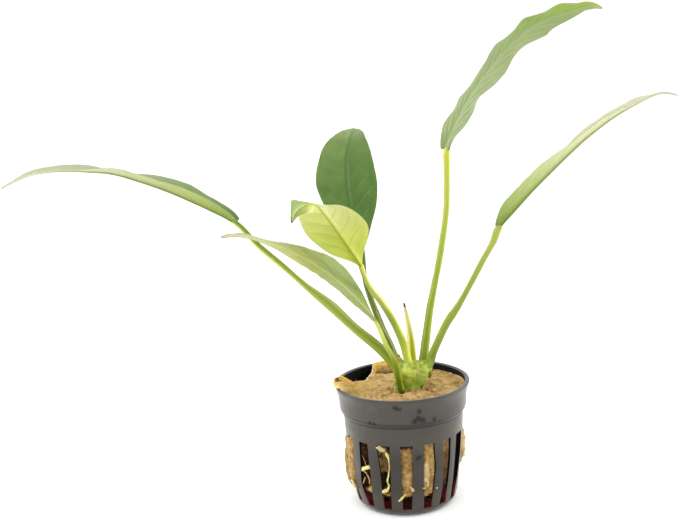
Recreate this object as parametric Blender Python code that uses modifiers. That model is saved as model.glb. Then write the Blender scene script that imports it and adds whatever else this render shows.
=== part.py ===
"""A potted anubias: six leaves on long stalks and a rolled new leaf, grown from a short rhizome
that is planted in a plug of rock wool in a slotted pot.

Units are metres, +Z is up. The origin is the centre of the pot's underside. The pot's front slot
looks along -Y, and the longest leaves reach out along -X and +X.
"""
import math

import bmesh
import bpy
import numpy as np
from mathutils import Matrix, Vector, noise

MM = 0.001
GAP = 0.3 * MM                  # clearance between pieces that touch in the real object

# Pot
POT_HEIGHT = 51.2 * MM
RIM_RADIUS = 27.5 * MM
RIM_INNER_RADIUS = 24.6 * MM
RIM_DEPTH = 2.4 * MM
COLLAR_RADIUS = 26.3 * MM
COLLAR_FOOT_RADIUS = 25.9 * MM
COLLAR_FOOT_Z = 42.0 * MM
WALL_TOP_RADIUS = 24.4 * MM
WALL_TOP_Z = 40.0 * MM
WALL_FOOT_RADIUS = 19.9 * MM
CORNER_RADIUS = 3.0 * MM
WALL_THICKNESS = 1.0 * MM
FLOOR_THICKNESS = 1.2 * MM
POT_STEPS = 48
SLOT_COUNT = 16
SLOT_TURN = math.radians(-1.0)  # how far the front slot is off -Y
SLOT_TOP_Z = 31.7 * MM
SLOT_FOOT_Z = 3.0 * MM
SLOT_TOP_WIDTH = 5.0 * MM
SLOT_FOOT_WIDTH = 3.9 * MM
DRAIN_COUNT = 8
DRAIN_INNER_RADIUS = 8.0 * MM
DRAIN_OUTER_RADIUS = 14.5 * MM
DRAIN_WIDTH = 2.6 * MM

# Rock wool plug
WOOL_FOOT_Z = 7.0 * MM
WOOL_TOP_Z = 48.2 * MM          # height of its top at the pot's axis
WOOL_SLOPE_X = -0.03            # its top falls to the right and to the back
WOOL_SLOPE_Y = -0.075
WOOL_TOP_ROUGHNESS = 0.5 * MM
WOOL_DIP_DEPTH = 1.6 * MM       # of the dip round the rhizome
WOOL_DIP_RADII = (7 * MM, 12 * MM)
SLOT_HALF_ANGLE = math.radians(4.8)
# How far the wool stands out of each slot, counted from the front slot towards +X. Negative is sunk.
WOOL_BULGES_MM = (0.3, 0.9, -0.2, -1.2, 2.2, 0.6, -0.4, 0.5, 0.2, -0.6, 0.7, 0.3, 2.6, 1.4, -3.2, -3.2)
BITE_AZIMUTH = math.radians(139)
BITE_HALF_ANGLE = math.radians(19)
BITE_DEPTH = 5.5 * MM
BITE_FLOOR_Z = 38.0 * MM
# Torn flaps that stand up from the plug's top: azimuth from +X, the half angles where a flap starts and
# ends falling away, the radii where it starts and ends rising, and its height
BACK_FLAP = (math.radians(107), (0.05, 0.30), (15 * MM, 21 * MM), 5.2 * MM)
LEFT_FLAP = (math.radians(176), (0.22, 0.38), (18 * MM, 22.5 * MM), 3.0 * MM)
LEFT_FLAP_OVER_RIM = (0.10, 0.22)  # half angles where the left flap stops reaching over the rim

# Rhizome
RHIZOME_CENTRE = Vector((4.2, -3.6, 53.2)) * MM
RHIZOME_RADII = Vector((6.4, 5.2, 7.4)) * MM
# Lobes of the rhizome: direction, extra length in mm, half width in radians
RHIZOME_LOBES = (
    ((-0.75, -0.75, -0.35), 3.2, 0.45),
    ((-0.05, -0.9, -0.45), 1.2, 0.5),
    ((0.85, -0.15, -0.1), 1.2, 0.6),
    ((-0.7, 0.3, 0.3), 1.0, 0.5),
)
SCAR_SPACING = 2.3 * MM
SCAR_DEPTH = 0.25 * MM

# Leaves: the stalk's and the midrib's points in mm, from the rhizome to the leaf's tip. A stalk's radii
# and a blade's half widths, fold angles and wave run evenly along it. Faces are the directions that the
# blade's upper side looks in. Left and right are as seen on the upper side with the tip away.
LEAVES = {
    "far_left_leaf": {
        "stalk_mm": ((0.1, -3, 55.5), (-8.5, -2, 65.6), (-17.8, 0, 74.2), (-27.2, 3, 82.6),
                     (-36.5, 5, 91.2), (-45.9, 8, 99.6), (-55.3, 10, 108.2), (-63.8, 12, 118.4)),
        "stalk_radii_mm": (2.25, 2.1, 1.85, 1.7, 1.45, 1.25, 1.1),
        "midrib_mm": ((-75.1, 14, 124.4), (-91.1, 17, 131.1), (-103.9, 19, 136.0), (-113.5, 20, 138.9),
                      (-123.2, 21, 140.7), (-134.6, 22, 141.2), (-146.3, 22, 140.0), (-158.9, 21, 134.6)),
        "half_widths_mm": ((1.2, 7, 9.5, 10, 9.8, 9.2, 8.4, 7.2, 5.6, 3.4, 0.8),
                           (1.2, 7, 9.5, 10, 9.8, 9.2, 8.4, 7.2, 5.6, 3.4, 0.8)),
        "faces": ((0, 0, 1), (0, 0.02, 1), (0, 0.1, 1), (0, 0, 1), (-0.2, 0, 1)),
        "folds_deg": ((32, 32, 14, 6, 2), (22, 22, 8, 4, 2)),
        "waves": ((0.5, 2.5, 0.0), (0.5, 2.5, 1.0)),
        "colour": (0.30, 0.45, 0.10),
    },
    "front_left_leaf": {
        "stalk_mm": ((1.2, -7.6, 50.0), (-0.2, -10.3, 53.0), (-2.4, -13, 58.0), (-3.9, -15, 64.5),
                     (-5.9, -18, 71.7), (-8.5, -22, 80.0), (-10.8, -24, 84.1)),
        "stalk_radii_mm": (1.8, 1.7, 1.5, 1.3, 1.1, 1.0),
        "midrib_mm": ((-18.0, -27, 93.5), (-25.3, -31, 102.2), (-33.5, -36, 110.1), (-41.7, -42, 116.8),
                      (-50.7, -48, 122.6), (-58.3, -52, 125.8), (-65.0, -55, 126.4)),
        "half_widths_mm": ((1.2, 6, 8.5, 9, 8.6, 8, 6.5, 4.6, 3, 1.7, 0.8),
                           (1.2, 7, 9.5, 10, 9.6, 8.6, 7, 4.8, 3, 1.7, 0.8)),
        "faces": ((0.3, -0.5, 1), (0.2, -0.35, 1), (0.2, -0.3, 1), (0, -0.1, 1)),
        "folds_deg": ((6, 4, 2, 0), (5, 12, 8, 5)),
        "waves": ((0.3, 2.0, 0.5), (0.3, 2.0, 1.0)),
        "colour": (0.34, 0.46, 0.17),
    },
    "young_front_leaf": {
        "stalk_mm": ((4.6, -4.5, 57.0), (4.1, -6, 60.5), (1.4, -7, 67.6), (-0.2, -9, 72.6),
                     (-2.6, -11, 78.5), (-5.2, -14, 84.4), (-7.8, -16, 89.4), (-10.4, -19, 93.8),
                     (-13.0, -22, 99.5), (-14.9, -25, 106.5)),
        "stalk_radii_mm": (1.6, 1.5, 1.4, 1.25, 1.1, 0.9, 0.85),
        "midrib_mm": ((-17.1, -27, 110.4), (-19.8, -29.5, 115.6), (-23.1, -31.5, 121.8),
                      (-26.6, -32, 127.1), (-30.6, -29.5, 130.3), (-33.9, -25, 131.5),
                      (-36.3, -20, 130.6), (-38.1, -17, 127.4), (-40.5, -15, 122.4)),
        "half_widths_mm": ((1, 6.3, 10, 11, 10, 8, 5.8, 4.5, 4.5, 3, 0.8),
                           (1, 7.5, 10.5, 11.5, 12, 11.5, 10, 7.5, 5.5, 3.2, 0.8)),
        "faces": ((0.2, 1, 0.3), (0.1, 1, 0.2), (0.1, 1, -0.1), (0.1, 0.8, -0.6), (0.2, -0.9, -0.6)),
        "folds_deg": ((14, 30, 45, 30, 5), (12, 12, 8, 6, 5)),
        "waves": ((0.3, 1.5, 0.0), (0.3, 1.5, 0.0)),
        "colour": (0.58, 0.68, 0.18),
    },
    "upright_back_leaf": {
        "stalk_mm": ((3.4, -1, 57.6), (-3.9, 2, 64.6), (-6.1, 5, 70.2), (-7.8, 8, 74.5),
                     (-12.5, 13, 89.4), (-13.3, 18, 102.2)),
        "stalk_radii_mm": (1.6, 1.5, 1.3, 1.1, 1.0),
        "midrib_mm": ((-15.6, 22, 112.0), (-17.3, 27, 121.6), (-17.8, 33, 131.1), (-17.3, 39, 138.5),
                      (-15.7, 46, 143.2), (-14.1, 54, 145.6), (-12.7, 59, 146.1), (-11.8, 64, 144.6)),
        "half_widths_mm": ((1, 6.3, 10.3, 12.6, 13.2, 12.8, 11.4, 9.2, 6.8, 3.6, 0.8),
                           (1, 6.3, 10.3, 12.8, 13.4, 12.4, 11.2, 8.4, 6.2, 3, 0.8)),
        "faces": ((-0.2, -1, 0.3), (-0.2, -1, 0.3), (-0.2, -1, 0.5), (-0.1, -0.9, 0.8), (0, -0.2, 1)),
        "folds_deg": ((16, 14, 12, 10, 10), (16, 14, 12, 10, 10)),
        "waves": ((0.3, 1.5, 0.0), (0.3, 1.5, 1.0)),
        "colour": (0.10, 0.25, 0.06),
    },
    "tall_right_leaf": {
        "stalk_mm": ((7.4, -1.5, 52.5), (8.8, 0, 56.6), (10.5, 1, 67.7), (12.7, 2, 80.2), (15.4, 4, 92.3),
                     (18.5, 6, 104.4), (21.1, 8, 119.6), (21.8, 9, 135.0), (22.1, 10, 143.2)),
        "stalk_radii_mm": (1.85, 1.6, 1.35, 1.15, 1.0, 0.95, 0.9),
        "midrib_mm": ((25.2, 11, 150.1), (29.7, 13, 158.4), (35.3, 15, 166.5), (43.1, 18, 175.4),
                      (49.1, 20, 181.3), (57.4, 22, 187.6), (64.6, 24, 191.0), (74.2, 26, 193.9),
                      (83.8, 28, 195.6), (88.7, 29, 194.8)),
        "half_widths_mm": ((1.2, 6.0, 4.8, 4.2, 5.2, 6.4, 5.4, 6.4, 6.4, 3.8, 0.8),
                           (1.0, 4.6, 6.4, 6.2, 8.2, 6.8, 8.4, 7.8, 5.4, 2.8, 0.8)),
        "faces": ((-0.9, -0.9, 0.3), (-0.8, -0.8, 0.6), (-0.7, -0.6, 0.9), (-0.4, -0.5, 1)),
        "folds_deg": ((8, 8, 8, 8), (8, 8, 8, 8)),
        "waves": ((1.2, 3.33, -1.2), (1.2, 3.33, 1.2)),
        "colour": (0.28, 0.44, 0.13),
    },
    "right_leaf": {
        "stalk_mm": ((6.0, -3.8, 50.5), (8.9, -4, 54.5), (12.1, -5, 61.6), (14.8, -6, 69.5),
                     (18.6, -8, 77.5), (23.5, -10, 85.3), (28.5, -12, 95.6), (33.3, -15, 104.7),
                     (37.0, -16, 110.8), (39.0, -18, 117.1)),
        "stalk_radii_mm": (1.8, 1.65, 1.45, 1.3, 1.1, 1.05, 1.1),
        "midrib_mm": ((45.1, -20, 123.7), (52.0, -22, 131.3), (58.8, -24, 138.7), (65.3, -27, 145.8),
                      (71.7, -30, 152.3), (80.3, -33, 159.4), (88.6, -36, 165.1), (97.2, -38, 167.7),
                      (103.6, -39, 166.9)),
        "half_widths_mm": ((1.2, 7.6, 9.0, 8.6, 7.8, 7.2, 6.4, 5.4, 4.0, 2.2, 0.8),
                           (1.2, 7.6, 9.0, 8.6, 7.8, 7.2, 6.4, 5.4, 4.0, 2.2, 0.8)),
        "faces": ((-0.7, 0.02, 0.7), (-0.7, 0.02, 0.7), (-0.5, 0, 0.8), (-0.2, 0, 1)),
        "folds_deg": ((28, 20, 14, 5), (40, 36, 24, 5)),
        "waves": ((0.4, 3.0, 0.0), (0.4, 3.0, 1.0)),
        "colour": (0.50, 0.60, 0.22),
    },
}
CURVE_STEPS = 16                # points on a smooth curve between two given ones
STALK_STEPS = 12
BLADE_STEPS = 17
ROOT_STEPS = 8
TIP_HALF_WIDTH_MM = 0.8
BLADE_COLUMNS = (-1.0, -0.66, -0.3, 0.0, 0.3, 0.66, 1.0)
MARGIN_THICKNESS = 0.4 * MM
BLADE_THICKNESS = 0.55 * MM
MIDRIB_BASE_THICKNESS = 2.0 * MM
MIDRIB_TIP_THICKNESS = 0.7 * MM

# New leaf, still rolled up
SPIKE_MM = ((5.0, -3.0, 56.0), (4.3, -2, 64.3), (3.6, -2, 70.6), (2.8, -2, 77.0), (2.1, -2, 84.1))
SPIKE_RADII_MM = (1.9, 1.7, 1.35, 0.9, 0.35)

# Roots that run down the hollows behind the slots left of the front one
ROOTS = {
    "root_front": {"azimuths_deg": (-22, -20.5, -21, -22, -24),
                   "radii_mm": (20.9, 20.9, 20.2, 19.7, 19.2), "heights_mm": (27.5, 24, 19, 14, 10.5)},
    "root_front_left": {"azimuths_deg": (-49, -46, -43.5, -44, -46.5),
                        "radii_mm": (19.7, 19.8, 19.5, 19, 18.7), "heights_mm": (19.5, 20, 17.5, 13.5, 10.8)},
}
ROOT_RADIUS = 0.55 * MM


def start_empty():
    """Remove the objects of the start-up file."""
    for thing in list(bpy.data.objects):
        bpy.data.objects.remove(thing, do_unlink=True)


def new_collection(name):
    made = bpy.data.collections.new(name)
    bpy.context.scene.collection.children.link(made)
    return made


def material(name, colour, roughness):
    made = bpy.data.materials.new(name)
    made.use_nodes = True
    shader = made.node_tree.nodes["Principled BSDF"]
    shader.inputs["Base Color"].default_value = (*colour, 1.0)
    shader.inputs["Roughness"].default_value = roughness
    shader.inputs["Metallic"].default_value = 0.0
    return made


def add_object(name, mesh, collection, finish=None):
    made = bpy.data.objects.new(name, mesh)
    collection.objects.link(made)
    if finish:
        mesh.materials.append(finish)
    return made


def mesh_of(name, shape):
    """A mesh made from a bmesh, with its faces pointing out and shaded smooth."""
    bmesh.ops.recalc_face_normals(shape, faces=shape.faces)
    made = bpy.data.meshes.new(name)
    shape.to_mesh(made)
    shape.free()
    made.shade_smooth()
    made.set_sharp_from_angle(angle=math.radians(40))
    return made


def hide_cutter(cutter):
    cutter.hide_render = True
    cutter.display_type = "WIRE"


def cut_by(target, cutter):
    cut = target.modifiers.new("Cut by " + cutter.name, "BOOLEAN")
    cut.operation = "DIFFERENCE"
    cut.solver = "EXACT"
    cut.object = cutter


def on_circle(azimuth, radius, height):
    """A point at an azimuth counted from the front, -Y, towards +X."""
    return Vector((radius * math.sin(azimuth), -radius * math.cos(azimuth), height))


def arc(centre_r, centre_z, radius, start_deg, end_deg, steps):
    """Points of an arc in the pot's half section, as (r, z)."""
    angles = [math.radians(start_deg + (end_deg - start_deg) * i / steps) for i in range(steps + 1)]
    return [(centre_r + radius * math.cos(a), centre_z + radius * math.sin(a)) for a in angles]


def wall_radius(z):
    """The pot's outer radius on its tapered wall, below the collar."""
    share = (z - CORNER_RADIUS) / (WALL_TOP_Z - CORNER_RADIUS)
    return WALL_FOOT_RADIUS + share * (WALL_TOP_RADIUS - WALL_FOOT_RADIUS)


def pot_profile():
    """The pot's half section: up the inside, over the rolled rim and down the outside."""
    inner_foot = WALL_FOOT_RADIUS - WALL_THICKNESS
    inner_corner = CORNER_RADIUS - WALL_THICKNESS
    lip = (RIM_RADIUS - RIM_INNER_RADIUS) / 2
    lip_round = 0.9 * MM
    inside = [(0.0, FLOOR_THICKNESS)]
    inside += arc(inner_foot - inner_corner, FLOOR_THICKNESS + inner_corner, inner_corner, -90, 0, 2)
    inside += [
        (WALL_TOP_RADIUS - WALL_THICKNESS, WALL_TOP_Z + 0.4 * MM),
        (COLLAR_FOOT_RADIUS - 1.2 * MM, COLLAR_FOOT_Z + 0.4 * MM),
        (COLLAR_RADIUS - 1.3 * MM, POT_HEIGHT - RIM_DEPTH),
    ]
    rim = arc(RIM_INNER_RADIUS + lip_round, POT_HEIGHT - lip_round, lip_round, 180, 90, 2)
    rim += arc(RIM_RADIUS - lip / 2, POT_HEIGHT - lip / 2, lip / 2, 90, 0, 3)
    rim += [(RIM_RADIUS, POT_HEIGHT - RIM_DEPTH)]
    outside = [
        (COLLAR_RADIUS, POT_HEIGHT - RIM_DEPTH - 0.3 * MM),
        (COLLAR_FOOT_RADIUS, COLLAR_FOOT_Z),
        (COLLAR_FOOT_RADIUS - 0.5 * MM, COLLAR_FOOT_Z - 0.9 * MM),
        (WALL_TOP_RADIUS, WALL_TOP_Z),
    ]
    outside += arc(WALL_FOOT_RADIUS - CORNER_RADIUS, CORNER_RADIUS, CORNER_RADIUS, 0, -90, 3)
    return inside + rim + outside + [(0.0, 0.0)]


def slot_box(shape, azimuth, inner, outer, low_z, high_z, low_width, high_width):
    """Add a box that runs out along an azimuth, with its own width at the bottom and at the top."""
    made = bmesh.ops.create_cube(shape, size=1.0)["verts"]
    turn = Matrix.Rotation(azimuth - math.pi / 2, 4, "Z")
    for vert in made:
        high = vert.co.z > 0
        reach = outer if vert.co.x > 0 else inner
        width = high_width if high else low_width
        vert.co = turn @ Vector((reach, vert.co.y * width, high_z if high else low_z))


def make_pot(collection, cutters, finish):
    profile = bpy.data.meshes.new("pot")
    points = [(r, 0.0, z) for r, z in pot_profile()]
    profile.from_pydata(points, [(i, i + 1) for i in range(len(points) - 1)], [])
    pot = add_object("pot", profile, collection, finish)
    turned = pot.modifiers.new("Turned", "SCREW")
    turned.steps = POT_STEPS
    turned.render_steps = POT_STEPS
    turned.use_merge_vertices = True
    turned.merge_threshold = 0.01 * MM
    turned.use_smooth_shade = True

    openings = bmesh.new()
    for i in range(SLOT_COUNT):
        slot_box(openings, SLOT_TURN + math.tau * i / SLOT_COUNT, 12 * MM, 30 * MM,
                 SLOT_FOOT_Z, SLOT_TOP_Z, SLOT_FOOT_WIDTH, SLOT_TOP_WIDTH)
    for i in range(DRAIN_COUNT):
        slot_box(openings, SLOT_TURN + math.tau * (i + 0.5) / DRAIN_COUNT, DRAIN_INNER_RADIUS,
                 DRAIN_OUTER_RADIUS, -1 * MM, 2 * MM, DRAIN_WIDTH, DRAIN_WIDTH)
    cutter = add_object("pot_openings_cutter", mesh_of("pot_openings_cutter", openings), cutters)
    hide_cutter(cutter)
    cut_by(pot, cutter)
    return pot


def loft(name, rings):
    """A closed solid through rings that all have the same number of points."""
    shape = bmesh.new()
    rows = [[shape.verts.new(point) for point in ring] for ring in rings]
    count = len(rows[0])
    for low, high in zip(rows, rows[1:]):
        for i in range(count):
            j = (i + 1) % count
            shape.faces.new((low[i], low[j], high[j], high[i]))
    for row in (rows[0], rows[-1]):
        middle = shape.verts.new(sum((vert.co for vert in row), Vector()) / count)
        for i in range(count):
            shape.faces.new((row[i], row[(i + 1) % count], middle))
    return mesh_of(name, shape)


def smooth_step(low, high, value):
    share = min(max((value - low) / (high - low), 0.0), 1.0)
    return share * share * (3 - 2 * share)


def angle_between(a, b):
    return abs((a - b + math.pi) % math.tau - math.pi)


def wool_side_radius(z):
    """The plug's radius against the pot's inner wall."""
    if z > COLLAR_FOOT_Z:
        return RIM_INNER_RADIUS - 1.5 * GAP
    return wall_radius(z) - WALL_THICKNESS - 1.2 * GAP


def wool_top_z(point):
    """Height of the plug's torn top: a slope, a dip round the rhizome and two raised flaps."""
    z = WOOL_TOP_Z + WOOL_SLOPE_X * point.x + WOOL_SLOPE_Y * point.y
    z -= WOOL_DIP_DEPTH * (1 - smooth_step(*WOOL_DIP_RADII, (point - RHIZOME_CENTRE).xy.length))
    z += WOOL_TOP_ROUGHNESS * noise.noise(point * 260)
    turn = math.atan2(point.y, point.x)
    for azimuth, half_angles, radii, height in (BACK_FLAP, LEFT_FLAP):
        within = 1 - smooth_step(*half_angles, angle_between(turn, azimuth))
        z += height * within * smooth_step(*radii, point.xy.length)
    return z


def make_wool(collection, finish):
    """The plug, lofted from its foot up the pot's wall and over its torn top."""
    columns = []
    for slot in range(SLOT_COUNT):
        centre = SLOT_TURN + math.tau * slot / SLOT_COUNT
        offsets = (-SLOT_HALF_ANGLE, 0.0, SLOT_HALF_ANGLE, math.pi / SLOT_COUNT)
        for offset, kind in zip(offsets, ("side", "slot", "side", "rib")):
            columns.append((centre + offset, kind, WOOL_BULGES_MM[slot] * MM))

    def side_ring(z, reach=1.0):
        ring = []
        for azimuth, kind, bulge in columns:
            radius = wool_side_radius(z) * reach
            within = smooth_step(6.5 * MM, 9.5 * MM, z) * (1 - smooth_step(28 * MM, 31 * MM, z))
            if kind == "slot":
                radius += bulge * within
            elif kind == "side" and bulge < -1.5 * MM:
                radius += 0.5 * bulge * within
            bite = 1 - smooth_step(0.55, 1.0, angle_between(azimuth - math.pi / 2, BITE_AZIMUTH)
                                   / BITE_HALF_ANGLE)
            radius -= BITE_DEPTH * bite * smooth_step(BITE_FLOOR_Z - 1 * MM, BITE_FLOOR_Z, z)
            ring.append(on_circle(azimuth, radius, z))
        return ring

    def top_ring(reach):
        ring = []
        for point in side_ring(46 * MM, reach):
            ring.append(Vector((point.x, point.y, wool_top_z(point))))
        return ring

    def flap_ring(reach, outward, lift):
        """A ring at the top's edge, which the left flap carries out over the rim."""
        ring = []
        for point in top_ring(reach):
            left = angle_between(math.atan2(point.y, point.x), LEFT_FLAP[0])
            over = 1 - smooth_step(*LEFT_FLAP_OVER_RIM, left)
            out = Vector((point.x, point.y, 0)).normalized() * outward * over
            ring.append(point + out + Vector((0, 0, lift * over)))
        return ring

    heights_mm = (10, 17, 23, 29.2, 31.2, 40.2, 42.5)
    rings = [[Vector((p.x, p.y, WOOL_FOOT_Z - 1 * MM)) for p in side_ring(WOOL_FOOT_Z, 0.8)]]
    rings += [side_ring(WOOL_FOOT_Z)] + [side_ring(z * MM) for z in heights_mm]
    rings += [top_ring(0.995), flap_ring(0.97, 4.2 * MM, 0.1 * MM), flap_ring(0.90, 3.6 * MM, 1.3 * MM)]
    rings += [top_ring(reach) for reach in (0.8, 0.6, 0.3)]
    return add_object("rock_wool_plug", loft("rock_wool_plug", rings), collection, finish)


def rhizome_mesh(name, grow):
    """The rhizome as a lumpy egg with leaf scars round it, grown outwards by a clearance."""
    shape = bmesh.new()
    bmesh.ops.create_uvsphere(shape, u_segments=20, v_segments=14, radius=1.0)
    for vert in shape.verts:
        out = vert.co.normalized()
        point = Vector(out[i] * RHIZOME_RADII[i] for i in range(3))
        for direction, extra_mm, width in RHIZOME_LOBES:
            off = out.angle(Vector(direction).normalized())
            point += out * extra_mm * MM * math.exp(-(off / width) ** 2)
        point -= out * SCAR_DEPTH * (1 + math.cos(math.tau * point.z / SCAR_SPACING)) / 2
        point += out * (0.35 * MM * noise.noise(out * 3.1) + grow)
        vert.co = RHIZOME_CENTRE + point
    return mesh_of(name, shape)


def smooth_curve(points):
    """A dense smooth curve through points, with CURVE_STEPS points from each to the next."""
    points = [np.array(p, float) for p in points]
    points = [2 * points[0] - points[1]] + points + [2 * points[-1] - points[-2]]
    dense = []
    for a, b, c, d in zip(points, points[1:], points[2:], points[3:]):
        for i in range(CURVE_STEPS):
            t = i / CURVE_STEPS
            dense.append(0.5 * (2 * b + (c - a) * t + (2 * a - 5 * b + 4 * c - d) * t ** 2
                                + (3 * b - a - 3 * c + d) * t ** 3))
    dense.append(points[-2])
    return np.array(dense)


def lengths_along(curve):
    return np.concatenate([[0.0], np.cumsum(np.linalg.norm(np.diff(curve, axis=0), axis=1))])


def evenly(curve, count, cut_end=0.0, values=None):
    """Evenly spaced points on a curve, or other values that run along it, up to just before its end."""
    along = lengths_along(curve)
    wanted = np.linspace(0.0, along[-1] - cut_end, count)
    values = curve if values is None else values
    return np.stack([np.interp(wanted, along, values[:, k]) for k in range(3)], axis=1)


def value_along(values, share):
    """Straight interpolation in values spread evenly from 0 to 1."""
    values = np.array(values, float)
    spread = np.linspace(0, 1, len(values))
    if values.ndim == 1:
        return float(np.interp(share, spread, values))
    return np.array([np.interp(share, spread, values[:, k]) for k in range(values.shape[1])])


def smooth_value(values, share):
    """Smooth interpolation in values spread evenly from 0 to 1."""
    curve = smooth_curve([(i, value, 0.0) for i, value in enumerate(values)])
    return float(np.interp(share * (len(values) - 1), curve[:, 0], curve[:, 1]))


def tube(name, points, radii, collection, finish):
    """A round stem as a curve with a radius at each point, made a mesh with its caps welded on."""
    data = bpy.data.curves.new(name, "CURVE")
    data.dimensions = "3D"
    data.bevel_depth = 1 * MM
    data.bevel_resolution = 2
    data.use_fill_caps = True
    spline = data.splines.new("POLY")
    spline.points.add(len(points) - 1)
    for target, point, radius in zip(spline.points, points, radii):
        target.co = (*point, 1.0)
        target.radius = radius / MM
    curve = bpy.data.objects.new(name + "_curve", data)
    collection.objects.link(curve)
    bpy.context.view_layer.update()
    evaluated = curve.evaluated_get(bpy.context.evaluated_depsgraph_get())
    raw = bpy.data.meshes.new_from_object(evaluated)
    shape = bmesh.new()
    shape.from_mesh(raw)
    bmesh.ops.remove_doubles(shape, verts=shape.verts, dist=0.01 * MM)
    made = add_object(name, mesh_of(name, shape), collection, finish)
    made.matrix_world = curve.matrix_world
    bpy.data.objects.remove(curve, do_unlink=True)
    bpy.data.meshes.remove(raw)
    return made


def blade_section(leaf, share, place, side, up):
    """One closed section of a blade: along its upper side, then back along its under side."""
    midrib = MIDRIB_BASE_THICKNESS + share * (MIDRIB_TIP_THICKNESS - MIDRIB_BASE_THICKNESS)
    upper, lower = [], []
    for column in BLADE_COLUMNS:
        half = 0 if column < 0 else 1
        out = abs(column)
        width = max(smooth_value(leaf["half_widths_mm"][half], share), TIP_HALF_WIDTH_MM) * MM
        fold = math.radians(value_along(leaf["folds_deg"][half], share))
        height, count, phase = leaf["waves"][half]
        wave = height * MM * math.sin(math.tau * count * share + phase) * out ** 2
        lift = width * out * math.sin(fold) + wave * math.sin(math.pi * share)
        lift += midrib / 2
        point = place + side * math.copysign(width * out * math.cos(fold), column) + up * lift
        upper.append(point)
        if out < 1:
            thickness = midrib if out == 0 else BLADE_THICKNESS * (1.5 - out)
            lower.append(point - up * thickness)
        else:
            upper[-1] = point - up * MARGIN_THICKNESS / 2
    return upper + lower[::-1]


def make_leaf(name, leaf, rhizome_cutter, collection, stalk_finish, blade_finish):
    """A leaf: its stalk, cut clear of the rhizome, and its blade, which starts where the stalk ends."""
    route = smooth_curve([Vector(p) * MM for p in leaf["stalk_mm"] + leaf["midrib_mm"]])
    split = (len(leaf["stalk_mm"]) - 1) * CURVE_STEPS
    points = evenly(route[:split + 1], STALK_STEPS, cut_end=1.5 * GAP)
    radii = [value_along(leaf["stalk_radii_mm"], i / (STALK_STEPS - 1)) * MM for i in range(STALK_STEPS)]
    stalk = tube(name + "_stalk", points, radii, collection, stalk_finish)
    cut_by(stalk, rhizome_cutter)

    places = evenly(route[split:], BLADE_STEPS)
    directions = evenly(route[split:], BLADE_STEPS, values=np.gradient(route, axis=0)[split:])
    sections = []
    for i, (place, direction) in enumerate(zip(places, directions)):
        share = i / (BLADE_STEPS - 1)
        along = Vector(direction).normalized()
        up = Vector(value_along(leaf["faces"], share))
        up = (up - up.dot(along) * along).normalized()
        sections.append(blade_section(leaf, share, Vector(place), along.cross(up), up))
    add_object(name + "_blade", loft(name + "_blade", sections), collection, blade_finish)


def make_spike(rhizome_cutter, collection, finish):
    points = evenly(smooth_curve([Vector(p) * MM for p in SPIKE_MM]), STALK_STEPS)
    radii = [value_along(SPIKE_RADII_MM, i / (STALK_STEPS - 1)) * MM for i in range(STALK_STEPS)]
    cut_by(tube("new_leaf_spike", points, radii, collection, finish), rhizome_cutter)


def make_roots(collection, finish):
    for name, root in ROOTS.items():
        stations = zip(root["azimuths_deg"], root["radii_mm"], root["heights_mm"])
        route = smooth_curve([on_circle(math.radians(a), r * MM, z * MM) for a, r, z in stations])
        points = evenly(route, ROOT_STEPS)
        tube(name, points, [ROOT_RADIUS] * len(points), collection, finish)


def make_plant():
    start_empty()
    plant = new_collection("potted_anubias")
    cutters = new_collection("cutters")
    make_pot(plant, cutters, material("pot_plastic", (0.10, 0.095, 0.10), 0.5))
    wool = make_wool(plant, material("rock_wool", (0.50, 0.33, 0.14), 0.95))
    add_object("rhizome", rhizome_mesh("rhizome", 0.0), plant, material("rhizome", (0.52, 0.58, 0.16), 0.5))
    rhizome_cutter = add_object("rhizome_cutter", rhizome_mesh("rhizome_cutter", GAP), cutters)
    hide_cutter(rhizome_cutter)
    cut_by(wool, rhizome_cutter)
    stalk_finish = material("leaf_stalk", (0.35, 0.45, 0.05), 0.4)
    for name, leaf in LEAVES.items():
        blade_finish = material(name + "_blade", leaf["colour"], 0.45)
        make_leaf(name, leaf, rhizome_cutter, plant, stalk_finish, blade_finish)
    make_spike(rhizome_cutter, plant, material("new_leaf", (0.55, 0.58, 0.12), 0.45))
    make_roots(plant, material("root", (0.75, 0.66, 0.40), 0.7))


make_plant()
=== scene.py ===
"""The looks of the potted anubias: a finer piece in the place of each CAD solid, procedural materials,
a white floor, soft light and the photograph's camera. Units are metres and +Z is up."""
import math

import bmesh
import bpy
import numpy as np
from mathutils import Matrix, Vector, noise


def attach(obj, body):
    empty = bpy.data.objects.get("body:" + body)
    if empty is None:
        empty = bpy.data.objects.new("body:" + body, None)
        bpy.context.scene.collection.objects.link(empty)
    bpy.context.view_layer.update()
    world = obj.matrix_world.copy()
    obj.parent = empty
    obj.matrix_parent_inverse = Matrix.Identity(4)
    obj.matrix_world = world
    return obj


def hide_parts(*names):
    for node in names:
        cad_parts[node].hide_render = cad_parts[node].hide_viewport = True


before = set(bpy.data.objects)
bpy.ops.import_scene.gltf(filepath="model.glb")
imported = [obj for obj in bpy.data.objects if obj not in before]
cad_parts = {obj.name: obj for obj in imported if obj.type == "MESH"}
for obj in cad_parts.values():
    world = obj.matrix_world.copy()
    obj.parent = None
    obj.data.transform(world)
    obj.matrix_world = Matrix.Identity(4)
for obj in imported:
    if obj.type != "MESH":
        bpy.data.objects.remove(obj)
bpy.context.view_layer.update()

MM = 0.001
RANDOM = np.random.default_rng(7)
noise.seed_set(1332)            # noise_vector, which bends the roots and tufts, is otherwise seeded by time

# Pot: the source's measures, with its profile and slots fitted more closely to the photograph
CORNER_RADIUS = 3.0 * MM
CORNER_REACH = 5.2 * MM
WALL_THICKNESS = 1.0 * MM
FLOOR_THICKNESS = 1.2 * MM
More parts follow.
